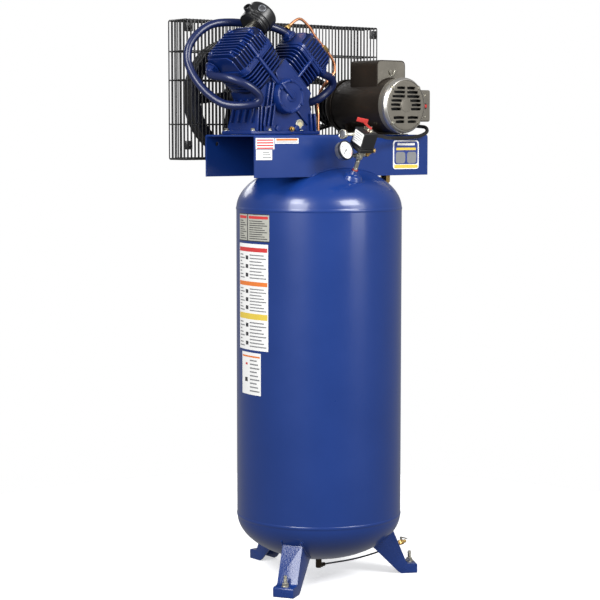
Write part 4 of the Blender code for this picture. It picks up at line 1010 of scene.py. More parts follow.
def make_filter():
    place = filter_frame()
    neck = [
        (0, 0.0195, 0), (0.015, 0.0195, 0.0008), (0.015, 0.0055, 0), (0.0165, 0.005, 0.0006),
        (0.0165, 0.0015, 0.0006), (0.015, 0.0, 0), (0, 0.0, 0),
    ]
    piece("filter_neck", lathe(neck, 40), "zinc", place)
    base = [
        (0, 0.024, 0), (0.0398, 0.024, 0.0006), (0.0398, 0.0206, 0.001), (0.03, 0.0198, 0.003),
        (0.016, 0.0196, 0.001), (0, 0.0196, 0),
    ]
    piece(
        "filter_base_plate", lathe(base, 64), "black_plastic", place, replaces=["air_filter_base"],
    )
    pleats = []
    for i in range(96):
        turn = 2 * math.pi * i / 96
        radius = 0.036 if i % 2 else 0.031
        pleats.append((radius * math.cos(turn), radius * math.sin(turn)))
    paper = slab([pleats, circle((0, 0), 0.022, 48)], 0.048)
    piece(
        "filter_pleated_paper", paper, "paper", place @ at(0, 0, 0.049),
        replaces=["air_filter_element"],
    )
    cover = [
        (0, 0.0868, 0), (0.025, 0.0866, 0.006), (0.04, 0.0845, 0.007), (0.0462, 0.077, 0.006),
        (0.0466, 0.046, 0.0015), (0.044, 0.0448, 0.001), (0.0436, 0.0422, 0.001),
        (0.0446, 0.0412, 0.0008), (0.0446, 0.035, 0.0015), (0.0424, 0.034, 0.0008),
        (0.0424, 0.0318, 0.0008), (0.044, 0.0308, 0.001), (0.044, 0.0262, 0.001),
        (0.0416, 0.0252, 0.0008), (0.0416, 0.0236, 0.0006), (0.0442, 0.0228, 0.0008),
        (0.0442, 0.0206, 0.001), (0.0403, 0.0206, 0.0004), (0.0403, 0.0235, 0), (0.041, 0.0245, 0),
        (0.041, 0.06, 0), (0.04, 0.076, 0.002), (0.036, 0.082, 0.002), (0, 0.082, 0),
    ]
    body = "filter_cover_body"
    piece(
        "filter_canister", lathe(cover, 96), "gloss_black", place, body,
        replaces=["air_filter_cover"],
    )
    for index, z in enumerate((0.033, 0.0242)):
        hoop = [
            (0.041, 0.0012, 0), (0.0446, 0.0007, 0.0006), (0.0446, -0.0007, 0.0006),
            (0.041, -0.0012, 0),
        ]
        piece(
            f"filter_rim_{index}", lathe(hoop, 96, closed=True), "gloss_black",
            place @ at(0, 0, z), body,
        )
    inlet_frame = place @ facing((0.0425, 0.006, 0.042), (1, 0.1, 0.0), Z_AXIS)
    snout = [
        (0.0085, 0.017, 0), (0.012, 0.017, 0.0015), (0.013, 0.004, 0.002), (0.017, -0.002, 0),
        (0.0085, -0.002, 0),
    ]
    piece("filter_inlet", lathe(snout, 40, closed=True), "gloss_black", inlet_frame, body)
    turn = math.radians(50)
    outward = Vector((math.cos(turn), math.sin(turn), 0))
    badge = place @ facing(outward * 0.0452 + Z_AXIS * 0.063, outward, Z_AXIS)
    ring = [
        (0.0078, 0.003, 0), (0.0088, 0.004, 0.001), (0.0118, 0.0036, 0.001), (0.0128, -0.004, 0),
        (0.0078, -0.004, 0),
    ]
    piece("filter_cap_ring", lathe(ring, 48, closed=True), "dull_steel", badge, body)
    cap = [
        (0, 0.0026, 0), (0.006, 0.003, 0.001), (0.0078, 0.002, 0), (0.0078, -0.003, 0),
        (0, -0.003, 0),
    ]
    piece("filter_cap", lathe(cap, 40), "dark_print", badge, body)


# ---- tubes on the pump ----
def port(name, place, radius, look="blue_cast"):
    """The flange, hex nut and neck where a tube enters a head."""
    parts = [
        (hex_head(radius * 3.0, 0.012), HERE),
        (
            lathe(
                [
                    (0, 0.019, 0), (radius * 1.15, 0.019, 0.001), (radius * 1.25, 0.01, 0),
                    (0, 0.01, 0),
                ],
                32,
            ),
            HERE,
        ),
        (
            lathe(
                [(0, 0.003, 0), (radius * 2.1, 0.003, 0.001), (radius * 2.1, 0, 0), (0, 0, 0)], 32,
            ),
            HERE,
        ),
    ]
    return piece(name, merged(parts, 20), look, place)


CHECK_VALVE = Vector((0.21, -0.07, dome_height(0.2214) + 0.004))
INTERCOOLER_RADIUS = 0.012
DISCHARGE_RADIUS = 0.0125
COPPER_RADIUS = 0.0042


def make_pump_tubes():
    low_stage_port = bank_point("low_stage", 0.188, BANKS["low_stage"]["head"] + 0.0003, 0.04)
    high_stage_inlet = bank_point("high_stage", 0.192, -BANKS["high_stage"]["head"] - 0.0003, 0.03)
    high_stage_port = bank_point("high_stage", 0.186, BANKS["high_stage"]["head"] + 0.0003, -0.012)
    intercooler = [
        low_stage_port,
        low_stage_port + bank_direction("low_stage", 1) * 0.02,
        (-0.39, 0.01, 1.541), (-0.378, -0.043, 1.534), (-0.348, -0.076, 1.518),
        (-0.316, -0.087, 1.498), (-0.299, -0.088, 1.48), (-0.303, -0.083, 1.462),
        (-0.325, -0.069, 1.456), (-0.356, -0.035, 1.455), (-0.378, 0.0000, 1.465),
        (-0.403, 0.04, 1.499), (-0.419, 0.075, 1.544), (-0.425, 0.095, 1.589),
        (-0.414, 0.1, 1.633), (-0.381, 0.095, 1.672), (-0.336, 0.09, 1.696), (-0.28, 0.08, 1.703),
        (-0.215, 0.062, 1.7), (-0.156, 0.042, 1.693),
        high_stage_inlet + bank_direction("high_stage", -1) * 0.018,
        high_stage_inlet,
    ]
    tube = pipe(smooth_route(intercooler, 0.01), INTERCOOLER_RADIUS, 24)
    piece("intercooler_pipe", tube, "blue_tube", replaces=["intercooler_tube"])
    valve_top = CHECK_VALVE + Z_AXIS * 0.0463
    discharge = [
        high_stage_port,
        high_stage_port + bank_direction("high_stage", 1) * 0.022,
        (0.038, -0.008, 1.544), (0.056, 0.002, 1.523), (0.04, 0.012, 1.499), (0.013, 0.021, 1.478),
        (-0.013, 0.045, 1.465), (-0.035, 0.078, 1.45), (*DROP_POINT, 1.415), (*DROP_POINT, 1.36),
        (-0.032, 0.09, 1.33), (0.03, 0.048, 1.318), (0.12, -0.018, 1.318), (0.182, -0.056, 1.314),
        valve_top + Z_AXIS * 0.018,
        valve_top,
    ]
    tube = pipe(smooth_route(discharge, 0.01), DISCHARGE_RADIUS, 24)
    piece("discharge_pipe", tube, "blue_tube", replaces=["discharge_tube"])
    line_start = bank_point("high_stage", 0.192 + INTERCOOLER_RADIUS + 0.0006, -0.085, 0.03)
    line_rise = bank_point("high_stage", 0.2226, -0.085, 0.03)
    copper = [
        line_start,
        line_rise,
        (-0.051, 0.03, 1.72), (-0.0114, 0.03, 1.6941), (0.0045, 0.03, 1.6735),
        (0.0325, 0.03, 1.6471), (0.0648, 0.03, 1.6175), (0.083, 0.03, 1.5935),
        (0.0871, 0.03, 1.5752), (0.0831, 0.03, 1.5567), (0.056, 0.033, 1.53),
        (0.043, 0.043, 1.505), (0.03, 0.043, 1.47), (*COPPER_DROP, 1.43), (*COPPER_DROP, 1.35),
    ]
    tube = pipe(smooth_route(copper, 0.006), COPPER_RADIUS, 16)
    piece("copper_line", tube, "copper", replaces=["unloader_line"])
    fitting = [
        (0, 0.016, 0), (0.0062, 0.016, 0.001), (0.0068, 0.009, 0.001), (0.0095, 0.008, 0.001),
        (0.0095, 0, 0.001), (0, 0, 0),
    ]
    start = facing(line_start, line_rise - line_start)
    piece("copper_line_nut", lathe(fitting, 6, angle=20), "brass", start)
    union = [
        (0, 0.013, 0), (0.0058, 0.013, 0.001), (0.0085, 0.006, 0.001), (0.0085, -0.006, 0.001),
        (0.0058, -0.013, 0.001), (0, -0.013, 0),
    ]
    middle = facing((0.0486, 0.03, 1.6323), Vector((0.0323, 0, -0.0296)))
    piece("copper_line_union", lathe(union, 6, angle=20), "brass", middle)
    port(
        "low_stage_outlet_nut", facing(low_stage_port, bank_direction("low_stage", 1)),
        INTERCOOLER_RADIUS,
    )
    port(
        "high_stage_inlet_nut", facing(high_stage_inlet, bank_direction("high_stage", -1)),
        INTERCOOLER_RADIUS,
    )
    port(
        "high_stage_outlet_nut", facing(high_stage_port, bank_direction("high_stage", 1)),
        DISCHARGE_RADIUS,
    )


def make_check_valve():
    profile = [
        (0, 0.046, 0), (0.0115, 0.046, 0.001), (0.0125, 0.038, 0), (0.0155, 0.037, 0.001),
        (0.0155, 0.006, 0.001), (0.012, 0.004, 0), (0.012, -0.01, 0), (0, -0.01, 0),
    ]
    piece(
        "tank_check_valve", lathe(profile, 6, angle=20), "brass", Matrix.Translation(CHECK_VALVE),
        replaces=["check_valve"],
    )


# ---- pressure switch, gauge and safety valve ----
SWITCH_FOOT = (-0.022, -0.1845, 1.248)
SWITCH_BOX_HEIGHT = 0.0863
LEAN = math.radians(25)


def switch_frame(height):
    lean = Vector((0, -math.sin(LEAN), math.cos(LEAN)))
    return facing(Vector(SWITCH_FOOT) + lean * height, lean, Y_AXIS)


def switch_box_frame():
    return switch_frame(SWITCH_BOX_HEIGHT) @ spun(-90)


GAUGE_SPOT = Vector((-0.065, -0.009, 0.0155))
GAUGE_FACE = Vector((0.08, -0.96, 0.24)).normalized()
GAUGE_RADIUS = 0.029
VALVE_DIRECTION = Vector((0.97, 0, 0.25)).normalized()
LEVER_TURN = math.radians(32)


def make_controls():
    nipple = [(0, 0.057, 0), (0.0068, 0.057, 0)]
    for i in range(5):
        z = 0.056 - i * 0.0014
        nipple += [(0.0068, z, 0), (0.006, z - 0.0007, 0)]
    nipple += [(0.0067, 0.048, 0.001), (0.0067, 0.03, 0.001)]
    for i in range(7):
        z = 0.029 - i * 0.0014
        nipple += [(0.0068, z, 0), (0.006, z - 0.0007, 0)]
    nipple += [(0.0068, 0.0172, 0), (0, 0.0172, 0)]
    piece("switch_pipe", lathe(nipple, 40), "zinc", switch_frame(0), replaces=["switch_nipple"])
    band = [
        (0.0069, 0.0215, 0), (0.0086, 0.0215, 0.0006), (0.0086, 0.0186, 0.0006),
        (0.0069, 0.0186, 0),
    ]
    piece("switch_pipe_seal", lathe(band, 40, closed=True), "red_plastic", switch_frame(0))
    cross = switch_frame(0.067).translation
    right = facing(cross, VALVE_DIRECTION)
    left = facing(cross, -X_AXIS)
    arm = [
        (0, 0.018, 0), (0.0085, 0.018, 0.001), (0.0085, 0.011, 0.001), (0.007, 0.01, 0),
        (0.0075, 0, 0), (0, 0, 0),
    ]
    collar = [
        (0, 0.086, 0), (0.01, 0.086, 0.001), (0.0105, 0.08, 0.001), (0.0095, 0.079, 0.001),
        (0.0095, 0.068, 0.001), (0.0105, 0.067, 0.001), (0.0105, 0.0573, 0.001), (0, 0.0573, 0),
    ]
    parts = [
        (lathe(collar, 40), switch_frame(0)),
        (lathe(arm, 32), right),
        (lathe(arm, 32), left),
    ]
    piece("switch_cross", merged(parts), "zinc", replaces=["switch_manifold"])
    valve = [
        (0, 0.044, 0), (0.0045, 0.044, 0.0005), (0.0075, 0.043, 0.0008), (0.0075, 0.033, 0),
        (0.0115, 0.032, 0.0008), (0.0115, 0.023, 0.0008), (0.007, 0.022, 0), (0.007, 0.0183, 0),
        (0, 0.0183, 0),
    ]
    piece(
        "safety_valve_brass", lathe(valve, 6, angle=20), "brass", right, replaces=["safety_valve"],
    )
    knob = [(0, 0.017, 0), (0.003, 0.0164, 0.001), (0.0058, 0.014, 0.002), (0.0068, 0.0105, 0.003)]
    knob += [(0.0058, 0.007, 0.002), (0.0026, 0.0046, 0.0005), (0.0022, 0, 0), (0, 0, 0)]
    loop = circle((0, 0), 0.0058, 40)
    hoop = [Vector((x, 0, 0.015 + z)) for x, z in loop + loop[:1]]
    parts = [
        (lathe(knob, 40), HERE),
        (pipe(hoop, 0.0008, 10), HERE),
    ]
    stem = right @ at(0, 0, 0.0443) @ spun(90)
    piece(
        "safety_pull_ring", merged(parts), "brass", stem, "safety_pull_body",
        replaces=["safety_valve_pull"],
    )
    make_gauge(cross)
    make_pressure_switch()


def make_gauge(cross):
    place = facing(cross + GAUGE_SPOT, GAUGE_FACE)
    case = [
        (0.0262, 0.003, 0), (0.0262, 0.0052, 0.0003), (0.0274, 0.0056, 0.0006),
        (0.0282, 0.0046, 0.0006), (0.0282, -0.001, 0.0006), (0.0276, -0.0016, 0.0004),
        (0.0276, -0.013, 0.003), (0.0248, -0.018, 0.003), (0, -0.018, 0), (0, 0.002, 0),
        (0.0262, 0.002, 0),
    ]
    stem_start = cross - X_AXIS * 0.0183
    stem_bend = stem_start - X_AXIS * 0.02
    stem_end = place @ Vector((0, 0, -0.008))
    route = [
        stem_start, stem_start - X_AXIS * 0.012, stem_bend, stem_bend.lerp(stem_end, 0.6),
        stem_end,
    ]
    parts = [
        (lathe(case, 64), place),
        (pipe(smooth_route(route, 0.003), 0.005, 20), HERE),
    ]
    piece("gauge_body", merged(parts), "dull_steel", replaces=["gauge_case"])
    bezel = [
        (0.0256, 0.0056, 0), (0.0262, 0.0074, 0.0004), (0.028, 0.0074, 0.001),
        (GAUGE_RADIUS, 0.006, 0.001), (GAUGE_RADIUS, 0.0000, 0.0008), (0.0283, 0.0000, 0),
        (0.0283, 0.006, 0), (0.0262, 0.0056, 0),
    ]
    piece("gauge_bezel", lathe(bezel, 72, closed=True), "dark_paint", place)
    dial = [(0, 0.004, 0), (0.0257, 0.004, 0), (0.0257, 0.0031, 0), (0, 0.0031, 0)]
    piece("gauge_dial", lathe(dial, 64), "white_print", place)
    ticks = []
    for i in range(31):
        angle = math.radians(225 - 9 * i)
        long = i % 5 == 0
        length = 0.0036 if long else 0.002
        width = 0.0007 if long else 0.0004
        radius = 0.023 - length / 2
        mark = block((length, width, 0.0003), (radius, 0, 0.0042))
        ticks.append((mark, Matrix.Rotation(angle, 4, "Z")))
    for i in range(7):
        angle = math.radians(225 - 45 * i)
        spot = (0.0156 * math.cos(angle), 0.0156 * math.sin(angle))
        ticks.append((number(str(50 * i), 0.0042), at(spot[0], spot[1], 0.0042)))
    piece("gauge_marks", merged(ticks), "dark_print", place)
    band = circle((0, 0), 0.0241, 12, -45, 0) + circle((0, 0), 0.0234, 12, 0, -45)
    piece("gauge_red_band", slab([band], 0.0003), "red_print", place @ at(0, 0, 0.0042))
    outline = [
        (-0.0007, 0.006), (-0.0011, 0), (-0.0004, -0.0185), (0.0004, -0.0185), (0.0011, 0),
        (0.0007, 0.006),
    ]
    blade = slab([outline], 0.0005)
    parts = [
        (rod(0.0022, 0.0043, 0.0066, 24, bevel=0.0004), HERE),
        (blade, spun(-45) @ at(0, 0, 0.0056)),
    ]
    piece(
        "gauge_pointer", merged(parts), "dark_print", place, "gauge_needle_body",
        replaces=["gauge_needle"],
    )


def number(text, size):
    """A number as a thin flat mesh, centred."""
    curve = bpy.data.curves.new("number", "FONT")
    curve.body = text
    curve.size = size
    curve.extrude = 0.0001
    curve.align_x = "CENTER"
    curve.align_y = "CENTER"
    return evaluated(linked("holder", curve))


def make_pressure_switch():
    place = switch_box_frame()
    base = block((0.056, 0.052, 0.012), (0, -0.002, 0.0065), 0.002, 3)
    piece("switch_base", base, "black_plastic", place, replaces=["pressure_switch_base"])
    shell = merged([
        (block((0.054, 0.05, 0.05), (0, -0.002, 0.038), 0.003, 4), HERE),
        (block((0.0554, 0.0514, 0.004), (0, -0.002, 0.016), 0.0012, 2), HERE),
    ])
    piece("switch_cover", shell, "black_plastic", place, replaces=["pressure_switch_cover"])
    sheet = facing((0, -0.0271, 0.039), -Y_AXIS)
    label = slab([rounded_box(-0.021, 0.021, -0.019, 0.019, 0.001, 2)], 0.0005)
    piece("switch_label_end", label, "white_print", place @ sheet)
    lines = []
    for i, share in enumerate((0.9, 0.7, 0.95, 0.8, 0.55)):
        width = 0.036 * share
        bar = block((width, 0.0015, 0.0003), (-0.018 + width / 2, 0.013 - 0.0062 * i, 0.0003))
        lines.append((bar, HERE))
    piece("switch_label_lines", merged(lines), "grey_print", place @ sheet)
    bracket = merged([
        (block((0.03, 0.016, 0.0014), (0.004, 0.002, 0.0638), 0.0003, 1), HERE),
        (block((0.0014, 0.016, 0.007), (-0.011, 0.002, 0.0668), 0.0003, 1), HERE),
        (bolt(0.008, 0.0046), at(0.013, 0.004, 0.0644)),
        (bolt(0.0066, 0.0036), at(0.001, 0.004, 0.0644)),
    ], 20)
    piece("switch_top_bracket", bracket, "zinc", place)
    gland = [
        (0, 0.017, 0), (0.0078, 0.017, 0.001), (0.0085, 0.008, 0), (0.0108, 0.007, 0.001),
        (0.0108, 0.0003, 0), (0, 0.0003, 0),
    ]
    piece("switch_gland", lathe(gland, 40), "zinc", place @ facing((0, 0.023, 0.045), Y_AXIS))
    port_place = facing(place @ Vector((-0.0247, -0.0664, 0.0387)), Vector((-0.97, -0.24, 0.06)))
    second = [
        (0.0105, 0.0034, 0), (0.0118, 0.0052, 0.0006), (0.0145, 0.0046, 0.0012),
        (0.0145, -0.005, 0.003), (0.008, -0.009, 0.002), (0.0055, -0.018, 0), (0, -0.018, 0),
        (0, 0.001, 0), (0.0105, 0.001, 0),
    ]
    piece("regulator_disc", lathe(second, 48), "zinc", port_place)
    pane = [
        (0, 0.0034, 0), (0.006, 0.003, 0.001), (0.0104, 0.0022, 0), (0.0104, 0.0011, 0),
        (0, 0.0011, 0),
    ]
    piece("regulator_face", lathe(pane, 48), "dull_steel", port_place)
    neck = straight_route(
        place @ Vector((-0.023, -0.024, 0.04)), port_place @ Vector((0, 0, -0.012)),
    )
    piece("regulator_neck", pipe(neck, 0.0056, 20), "zinc")
    pivot = place @ Vector((0, 0.0085, 0.0695))
    pin = place.to_3x3() @ Vector((math.cos(LEVER_TURN), -math.sin(LEVER_TURN), 0))
    lever_frame = facing(pivot, pin, place.to_3x3() @ Z_AXIS)
    ear = block((0.01, 0.012, 0.003), (0, -0.001, 0), 0.0008)
    piece("switch_lever_ear", ear, "zinc", lever_frame)
    arm_place = at(-0.011, 0.007, 0.0033) @ spun(-32.5)
    parts = [
        (
            lathe([(0, 0.0054, 0), (0.005, 0.0052, 0.001), (0.005, 0.0018, 0), (0, 0.0018, 0)], 24),
            HERE,
        ),
        (block((0.026, 0.007, 0.0024), (0, 0, 0), 0.0007), arm_place),
        (block((0.034, 0.0135, 0.003), (-0.03, 0.0192, 0.0034), 0.001), HERE),
    ]
    lever = merged(parts)
    piece(
        "switch_lever", lever, "red_plastic", lever_frame, "switch_lever_body",
        replaces=["pressure_switch_lever"],
    )


def straight_route(start, end, count=6):
    return [Vector(start).lerp(Vector(end), i / (count - 1)) for i in range(count)]


# ---- motor ----
def motor_frame(y=0.0):
    return facing((MOTOR_X, y, MOTOR_Z), Y_AXIS)


def bell_rows():
    """Each louvre of the front bell: its side, height, inner end and outer end."""
    rows = []
    for side in (-1, 1):
        for row in range(6):
            y = 0.0535 - 0.0128 * row
            near = math.sqrt(max(0.0, 0.0222 ** 2 - y * y)) + 0.001
            reach = 0.062 * math.sqrt(1 - (y / 0.067) ** 2)
            rows.append((side, y, max(near, 0.004), reach))
        for y in (-0.0365, -0.049):
            rows.append((side, y, 0.007, 0.056 * math.sqrt(1 - (y / 0.067) ** 2) + 0.004))
    return rows


def louvre_outline(side, y, near, reach):
    """A slot whose ends curve with the round face."""
    tilt = 0.06 * side * (1 if y > 0 else -1)
    edge = [
        (side * near, y - 0.0047, 0.003), (side * reach, y - 0.0047 - tilt * 0.01, 0.0044),
        (side * (reach + 0.001), y + 0.0043 - tilt * 0.01, 0.0044),
        (side * near, y + 0.0043, 0.003),
    ]
    loop = filleted(edge, 4, closed=True)
    return loop if side < 0 else loop[::-1]


def bell_face():
    """The front bell's flat face: louvres on both sides of a plain centre, and two pairs below."""
    holes = [louvre_outline(*row) for row in bell_rows()]
    return slab([circle((0, 0), 0.071, 96)] + holes, 0.003)


def louvre_lips():
    """The raised lip over each louvre."""
    parts = []
    for side, y, near, reach in bell_rows():
        route = []
        for i in range(7):
            share = i / 6
            x = side * (near + 0.001 + (reach - near - 0.002) * share)
            route.append(Vector((x, y + 0.005 - 0.0012 * (2 * share - 1) ** 2, 0.0002)))
        parts.append((pipe(route, 0.0014, 10), HERE))
    return merged(parts, 50)


def make_bell(name, y, direction, look, cad, louvred):
    place = facing((MOTOR_X, y, MOTOR_Z), Y_AXIS * direction)
    outer = MOTOR_RADIUS + 0.0025
    rim = [
        (0.067, -0.0002, 0), (0.0745, -0.0004, 0.002), (0.08, -0.005, 0.005),
        (outer, -0.016, 0.006), (outer, -BELL_LENGTH, 0.001), (outer - 0.004, -BELL_LENGTH, 0),
        (outer - 0.004, -0.018, 0.004), (0.067, -0.005, 0),
    ]
    parts = [(lathe(rim, 96, closed=True), HERE)]
    if louvred:
        parts.append((bell_face(), at(0, 0, -0.0016)))
        parts.append((louvre_lips(), HERE))
        disc = [(0, 0.0012, 0), (0.02, 0.001, 0.0008), (0.0208, -0.001, 0), (0, -0.001, 0)]
        parts.append((lathe(disc, 64), HERE))
    else:
        holes = []
        for i in range(10):
            turn = math.radians(36 * i)
            middle = (0.046 * math.cos(turn), 0.046 * math.sin(turn))
            holes.append(circle(middle, 0.0085, 20)[::-1])
        holes.append(circle((0, 0), 0.0105, 32)[::-1])
        parts.append((slab([circle((0, 0), 0.068, 96)] + holes, 0.003), at(0, 0, -0.0016)))
        hub = [(0.009, 0.004, 0), (0.02, 0.004, 0.002), (0.023, -0.002, 0), (0.009, -0.002, 0)]
        parts.append((lathe(hub, 48, closed=True), HERE))
    for i in range(4):
        turn = spun(45 + 90 * i)
        lug = lathe([(0, 0.0015, 0), (0.008, 0.0015, 0.001), (0.009, -0.02, 0), (0, -0.02, 0)], 24)
        parts.append((lug, turn @ at(BELL_BOLT_CIRCLE, 0, -0.004)))
    piece(name, merged(parts), look, place, replaces=[cad], bevel=0.0004, segments=1)
    if louvred:
        edge = [
            (0.0772, -0.001, 0), (0.0795, -0.002, 0.001), (0.0846, -0.009, 0.004),
            (outer + 0.0004, -0.0175, 0.001), (0.08, -0.0175, 0),
        ]
        piece(name + "_rim", lathe(edge, 96, closed=True), "polished", place)
    # A near-black disc just behind the bell's face: painted shade seen through its louvres and
    # holes.
    back = lathe([(0, 0.0, 0), (0.074, 0.0, 0), (0.074, -0.001, 0), (0, -0.001, 0)], 64)
    piece(name + "_inside", back, "shadow", place @ at(0, 0, -0.015))
    heads = [place @ spun(45 + 90 * i) @ at(BELL_BOLT_CIRCLE, 0, -0.0024) for i in range(4)]
    bolts(name + "_bolts", heads, "zinc" if louvred else "motor_paint", 0.008, 0.004)


def barrel_cutter(clearance=0.0003, low=-0.14, high=0.14):
    """The room that a piece over the motor leaves for its round body."""
    return rod(MOTOR_RADIUS + clearance, low, high, 96), motor_frame()


def make_motor():
    front = MOTOR_FRONT + BELL_LENGTH
    rear = MOTOR_REAR - BELL_LENGTH
    shell = [
        (MOTOR_RADIUS - 0.003, rear - 0.0003, 0), (MOTOR_RADIUS, rear - 0.0003, 0.0005),
        (MOTOR_RADIUS, front + 0.0003, 0.0005), (MOTOR_RADIUS - 0.003, front + 0.0003, 0),
    ]
    piece(
        "motor_barrel", lathe(shell, 128, closed=True), "motor_paint", motor_frame(),
        replaces=["motor_shell"],
    )
    make_bell("motor_front_casting", MOTOR_FRONT, -1, "motor_cast", "motor_front_bell", True)
    make_bell("motor_rear_casting", MOTOR_REAR, 1, "motor_paint", "motor_rear_bell", False)
    low = MOTOR_Z + 0.045
    outline = [
        (-0.0585, low, 0), (0.0585, low, 0), (0.0585, CAPACITOR_TOP, 0.018),
        (-0.0585, CAPACITOR_TOP, 0.018),
    ]
    across = at(MOTOR_X, -0.035, 0) @ spun(90, "X")
    cover = carved(slab([filleted(outline, 6, closed=True)], 0.124), [barrel_cutter()], across)
    piece(
        "capacitor_housing", cover, "motor_paint", across, replaces=["capacitor_cover"],
        bevel=0.0045, segments=3, angle=50,
    )
    inner = [
        (-0.0555, low + 0.012, 0.002), (0.0555, low + 0.012, 0.002),
        (0.0555, CAPACITOR_TOP - 0.003, 0.016), (-0.0555, CAPACITOR_TOP - 0.003, 0.016),
    ]
    end = at(MOTOR_X, -0.0972, 0) @ spun(90, "X")
    plate = slab([filleted(inner, 6, closed=True)], 0.0016)
    plate = carved(plate, [barrel_cutter(0.004)], end)
    piece("capacitor_end_plate", plate, "motor_cast", end, bevel=0.0005, segments=1)
    prongs = []
    for x, turn in ((-0.008, -14), (0.006, 16)):
        prong = block((0.0046, 0.018, 0.002), (0, 0.006, 0.0024), 0.0008, 2)
        prongs.append((prong, at(x, 0.006, 0.0) @ spun(-turn) @ spun(14, "X")))
    prongs.append((block((0.02, 0.005, 0.002), (0, 0.003, 0.0012), 0.0008, 2), HERE))
    clip = facing((MOTOR_X + 0.001, -0.0981, 1.548), -Y_AXIS)
    piece("capacitor_clip", merged(prongs), "zinc", clip)
    make_switch_box()
    low_foot = PLATFORM_TOP + 0.0003
    feet = []
    for x in (-0.068, 0.068):
        for y in (-0.062, 0.042):
            feet.append(at(MOTOR_X + x, y, low_foot + 0.0025))
    bolts("motor_foot_bolts", feet, "zinc", 0.013, 0.006, washer=0.004)


def make_switch_box():
    box_centre = (0.315, -0.086, 1.459)
    size = (0.06, 0.086, 0.098)
    cutters = [barrel_cutter(), barrel_cutter(0.003, -0.15, -0.1)]
    mesh = carved(block(size, box_centre, 0.005, 4), cutters)
    piece("motor_wiring_box", mesh, "motor_cast", replaces=["motor_switch_box"])
    plate = slab([rounded_box(-0.02, 0.027, -0.045, 0.045, 0.004)], 0.0014)
    face = facing((0.315, -0.1292, 1.459), -Y_AXIS)
    piece("wiring_box_plate", plate, "motor_cast", face, bevel=0.0004, segments=1)
    for index, z in enumerate((0.033, -0.033)):
        piece(f"wiring_box_screw_{index}", screw_head(0.0036), "zinc", face @ at(0.005, z, 0.0007))
    button = facing((0.32, -0.129, 1.458), -Y_AXIS)
    bezel = [(0.0062, 0.0022, 0), (0.009, 0.0022, 0.0006), (0.0095, 0.0006, 0), (0.0062, 0.0006, 0)]
    piece("reset_bezel", lathe(bezel, 40, closed=True), "black_plastic", button)
    cap = [
        (0, 0.0072, 0), (0.0045, 0.007, 0.001), (0.0057, 0.0055, 0.0006), (0.0057, -0.006, 0),
        (0, -0.006, 0),
    ]
    piece(
        "reset_cap", lathe(cap, 32), "red_plastic", button, "reset_button_body",
        replaces=["reset_button"],
    )


# ---- drive ----
def rim_profile(inner, outer, half=SHEAVE_HALF_WIDTH):
    groove = BELT_WIDTH / 2 + 0.0004
    bottom = outer - GROOVE_DEPTH
    profile = [(inner, half, 0.002), (outer, half, 0.001)]
    for offset in (BELT_OFFSET, -BELT_OFFSET):
        profile += [
            (outer, offset + groove, 0.0004), (bottom, offset + groove, 0.0004),
            (bottom, offset - groove, 0.0004), (outer, offset - groove, 0.0004),
        ]
    profile += [(outer, -half, 0.001), (inner, -half, 0.002)]
    return profile


def make_flywheel():
    place = crank_frame(FLYWHEEL_Y)
    rim = rim_profile(0.146, FLYWHEEL_RADIUS)
    parts = [(lathe(rim, 144, closed=True), HERE)]
    hub = [
        (0.0163, 0.026, 0), (0.028, 0.026, 0.002), (0.036, 0.018, 0.004), (0.036, -0.02, 0.004),
        (0.03, -0.028, 0.002), (0.0163, -0.028, 0),
    ]
    parts.append((lathe(hub, 64, closed=True), HERE))
    for index in range(5):
        spoke = [
            (0.03, -0.019, 0), (0.09, -0.0125, 0.03), (0.148, -0.0165, 0), (0.148, 0.0165, 0),
            (0.09, 0.0125, 0.03), (0.03, 0.019, 0),
        ]
        plate = slab([filleted(spoke, 5, closed=True)], 0.013)
        parts.append((plate, spun(70 + 72 * index)))
    piece(
        "flywheel_casting", merged(parts), "dark_paint", place, "flywheel_body",
        replaces=["flywheel"], bevel=0.0012,
    )
    end = [(0, 0.029, 0), (0.016, 0.029, 0.001), (0.016, -0.07, 0), (0, -0.07, 0)]
    piece(
        "crankshaft_nose", lathe(end, 48), "steel", place, "flywheel_body",
        replaces=["crankshaft"],
    )
    bolts(
        "flywheel_clamp_bolt", [place @ at(0.027, 0.0, 0.0262)], "zinc", 0.012, 0.007,
        "flywheel_body",
    )


def make_pulley():
    place = motor_frame(FLYWHEEL_Y)
    profile = rim_profile(0.0083, PULLEY_RADIUS)
    profile[0] = (0.0083, SHEAVE_HALF_WIDTH, 0)
    profile.insert(1, (0.022, 0.0225, 0.001))
    profile.insert(2, (0.024, 0.019, 0.001))
    profile.insert(3, (0.046, 0.019, 0.001))
    profile.insert(4, (0.048, 0.0225, 0.001))
    profile[-1] = (0.0083, -SHEAVE_HALF_WIDTH, 0)
    piece(
        "motor_sheave", lathe(profile, 96, closed=True), "dark_paint", place, "motor_rotor_body",
        replaces=["motor_pulley"],
    )


def belt_loop(big, small):
    start = Vector((CRANK_X, CRANK_Z))
    end = Vector((MOTOR_X, MOTOR_Z))
    run = end - start
    heading = math.degrees(math.atan2(run.y, run.x))
    lean = math.degrees(math.acos((big - small) / run.length))
    far_side = circle(start, big, 96, heading + lean, heading + 360 - lean)
    near_side = circle(end, small, 40, heading - lean, heading + lean)
    return far_side + near_side


def make_belts():
    for name, offset, cad in (
        ("v_belt_front", -BELT_OFFSET, "belt_front"), ("v_belt_rear", BELT_OFFSET, "belt_rear"),
    ):
        outer = belt_loop(FLYWHEEL_RADIUS - 0.0005, PULLEY_RADIUS - 0.0005)
        inner = belt_loop(FLYWHEEL_RADIUS - 0.0085, PULLEY_RADIUS - 0.0085)
        upright = at(0, FLYWHEEL_Y + offset, 0) @ spun(90, "X")
        piece(
            name, slab([outer, inner[::-1]], BELT_WIDTH), "rubber", upright, replaces=[cad],
            bevel=0.001,
        )


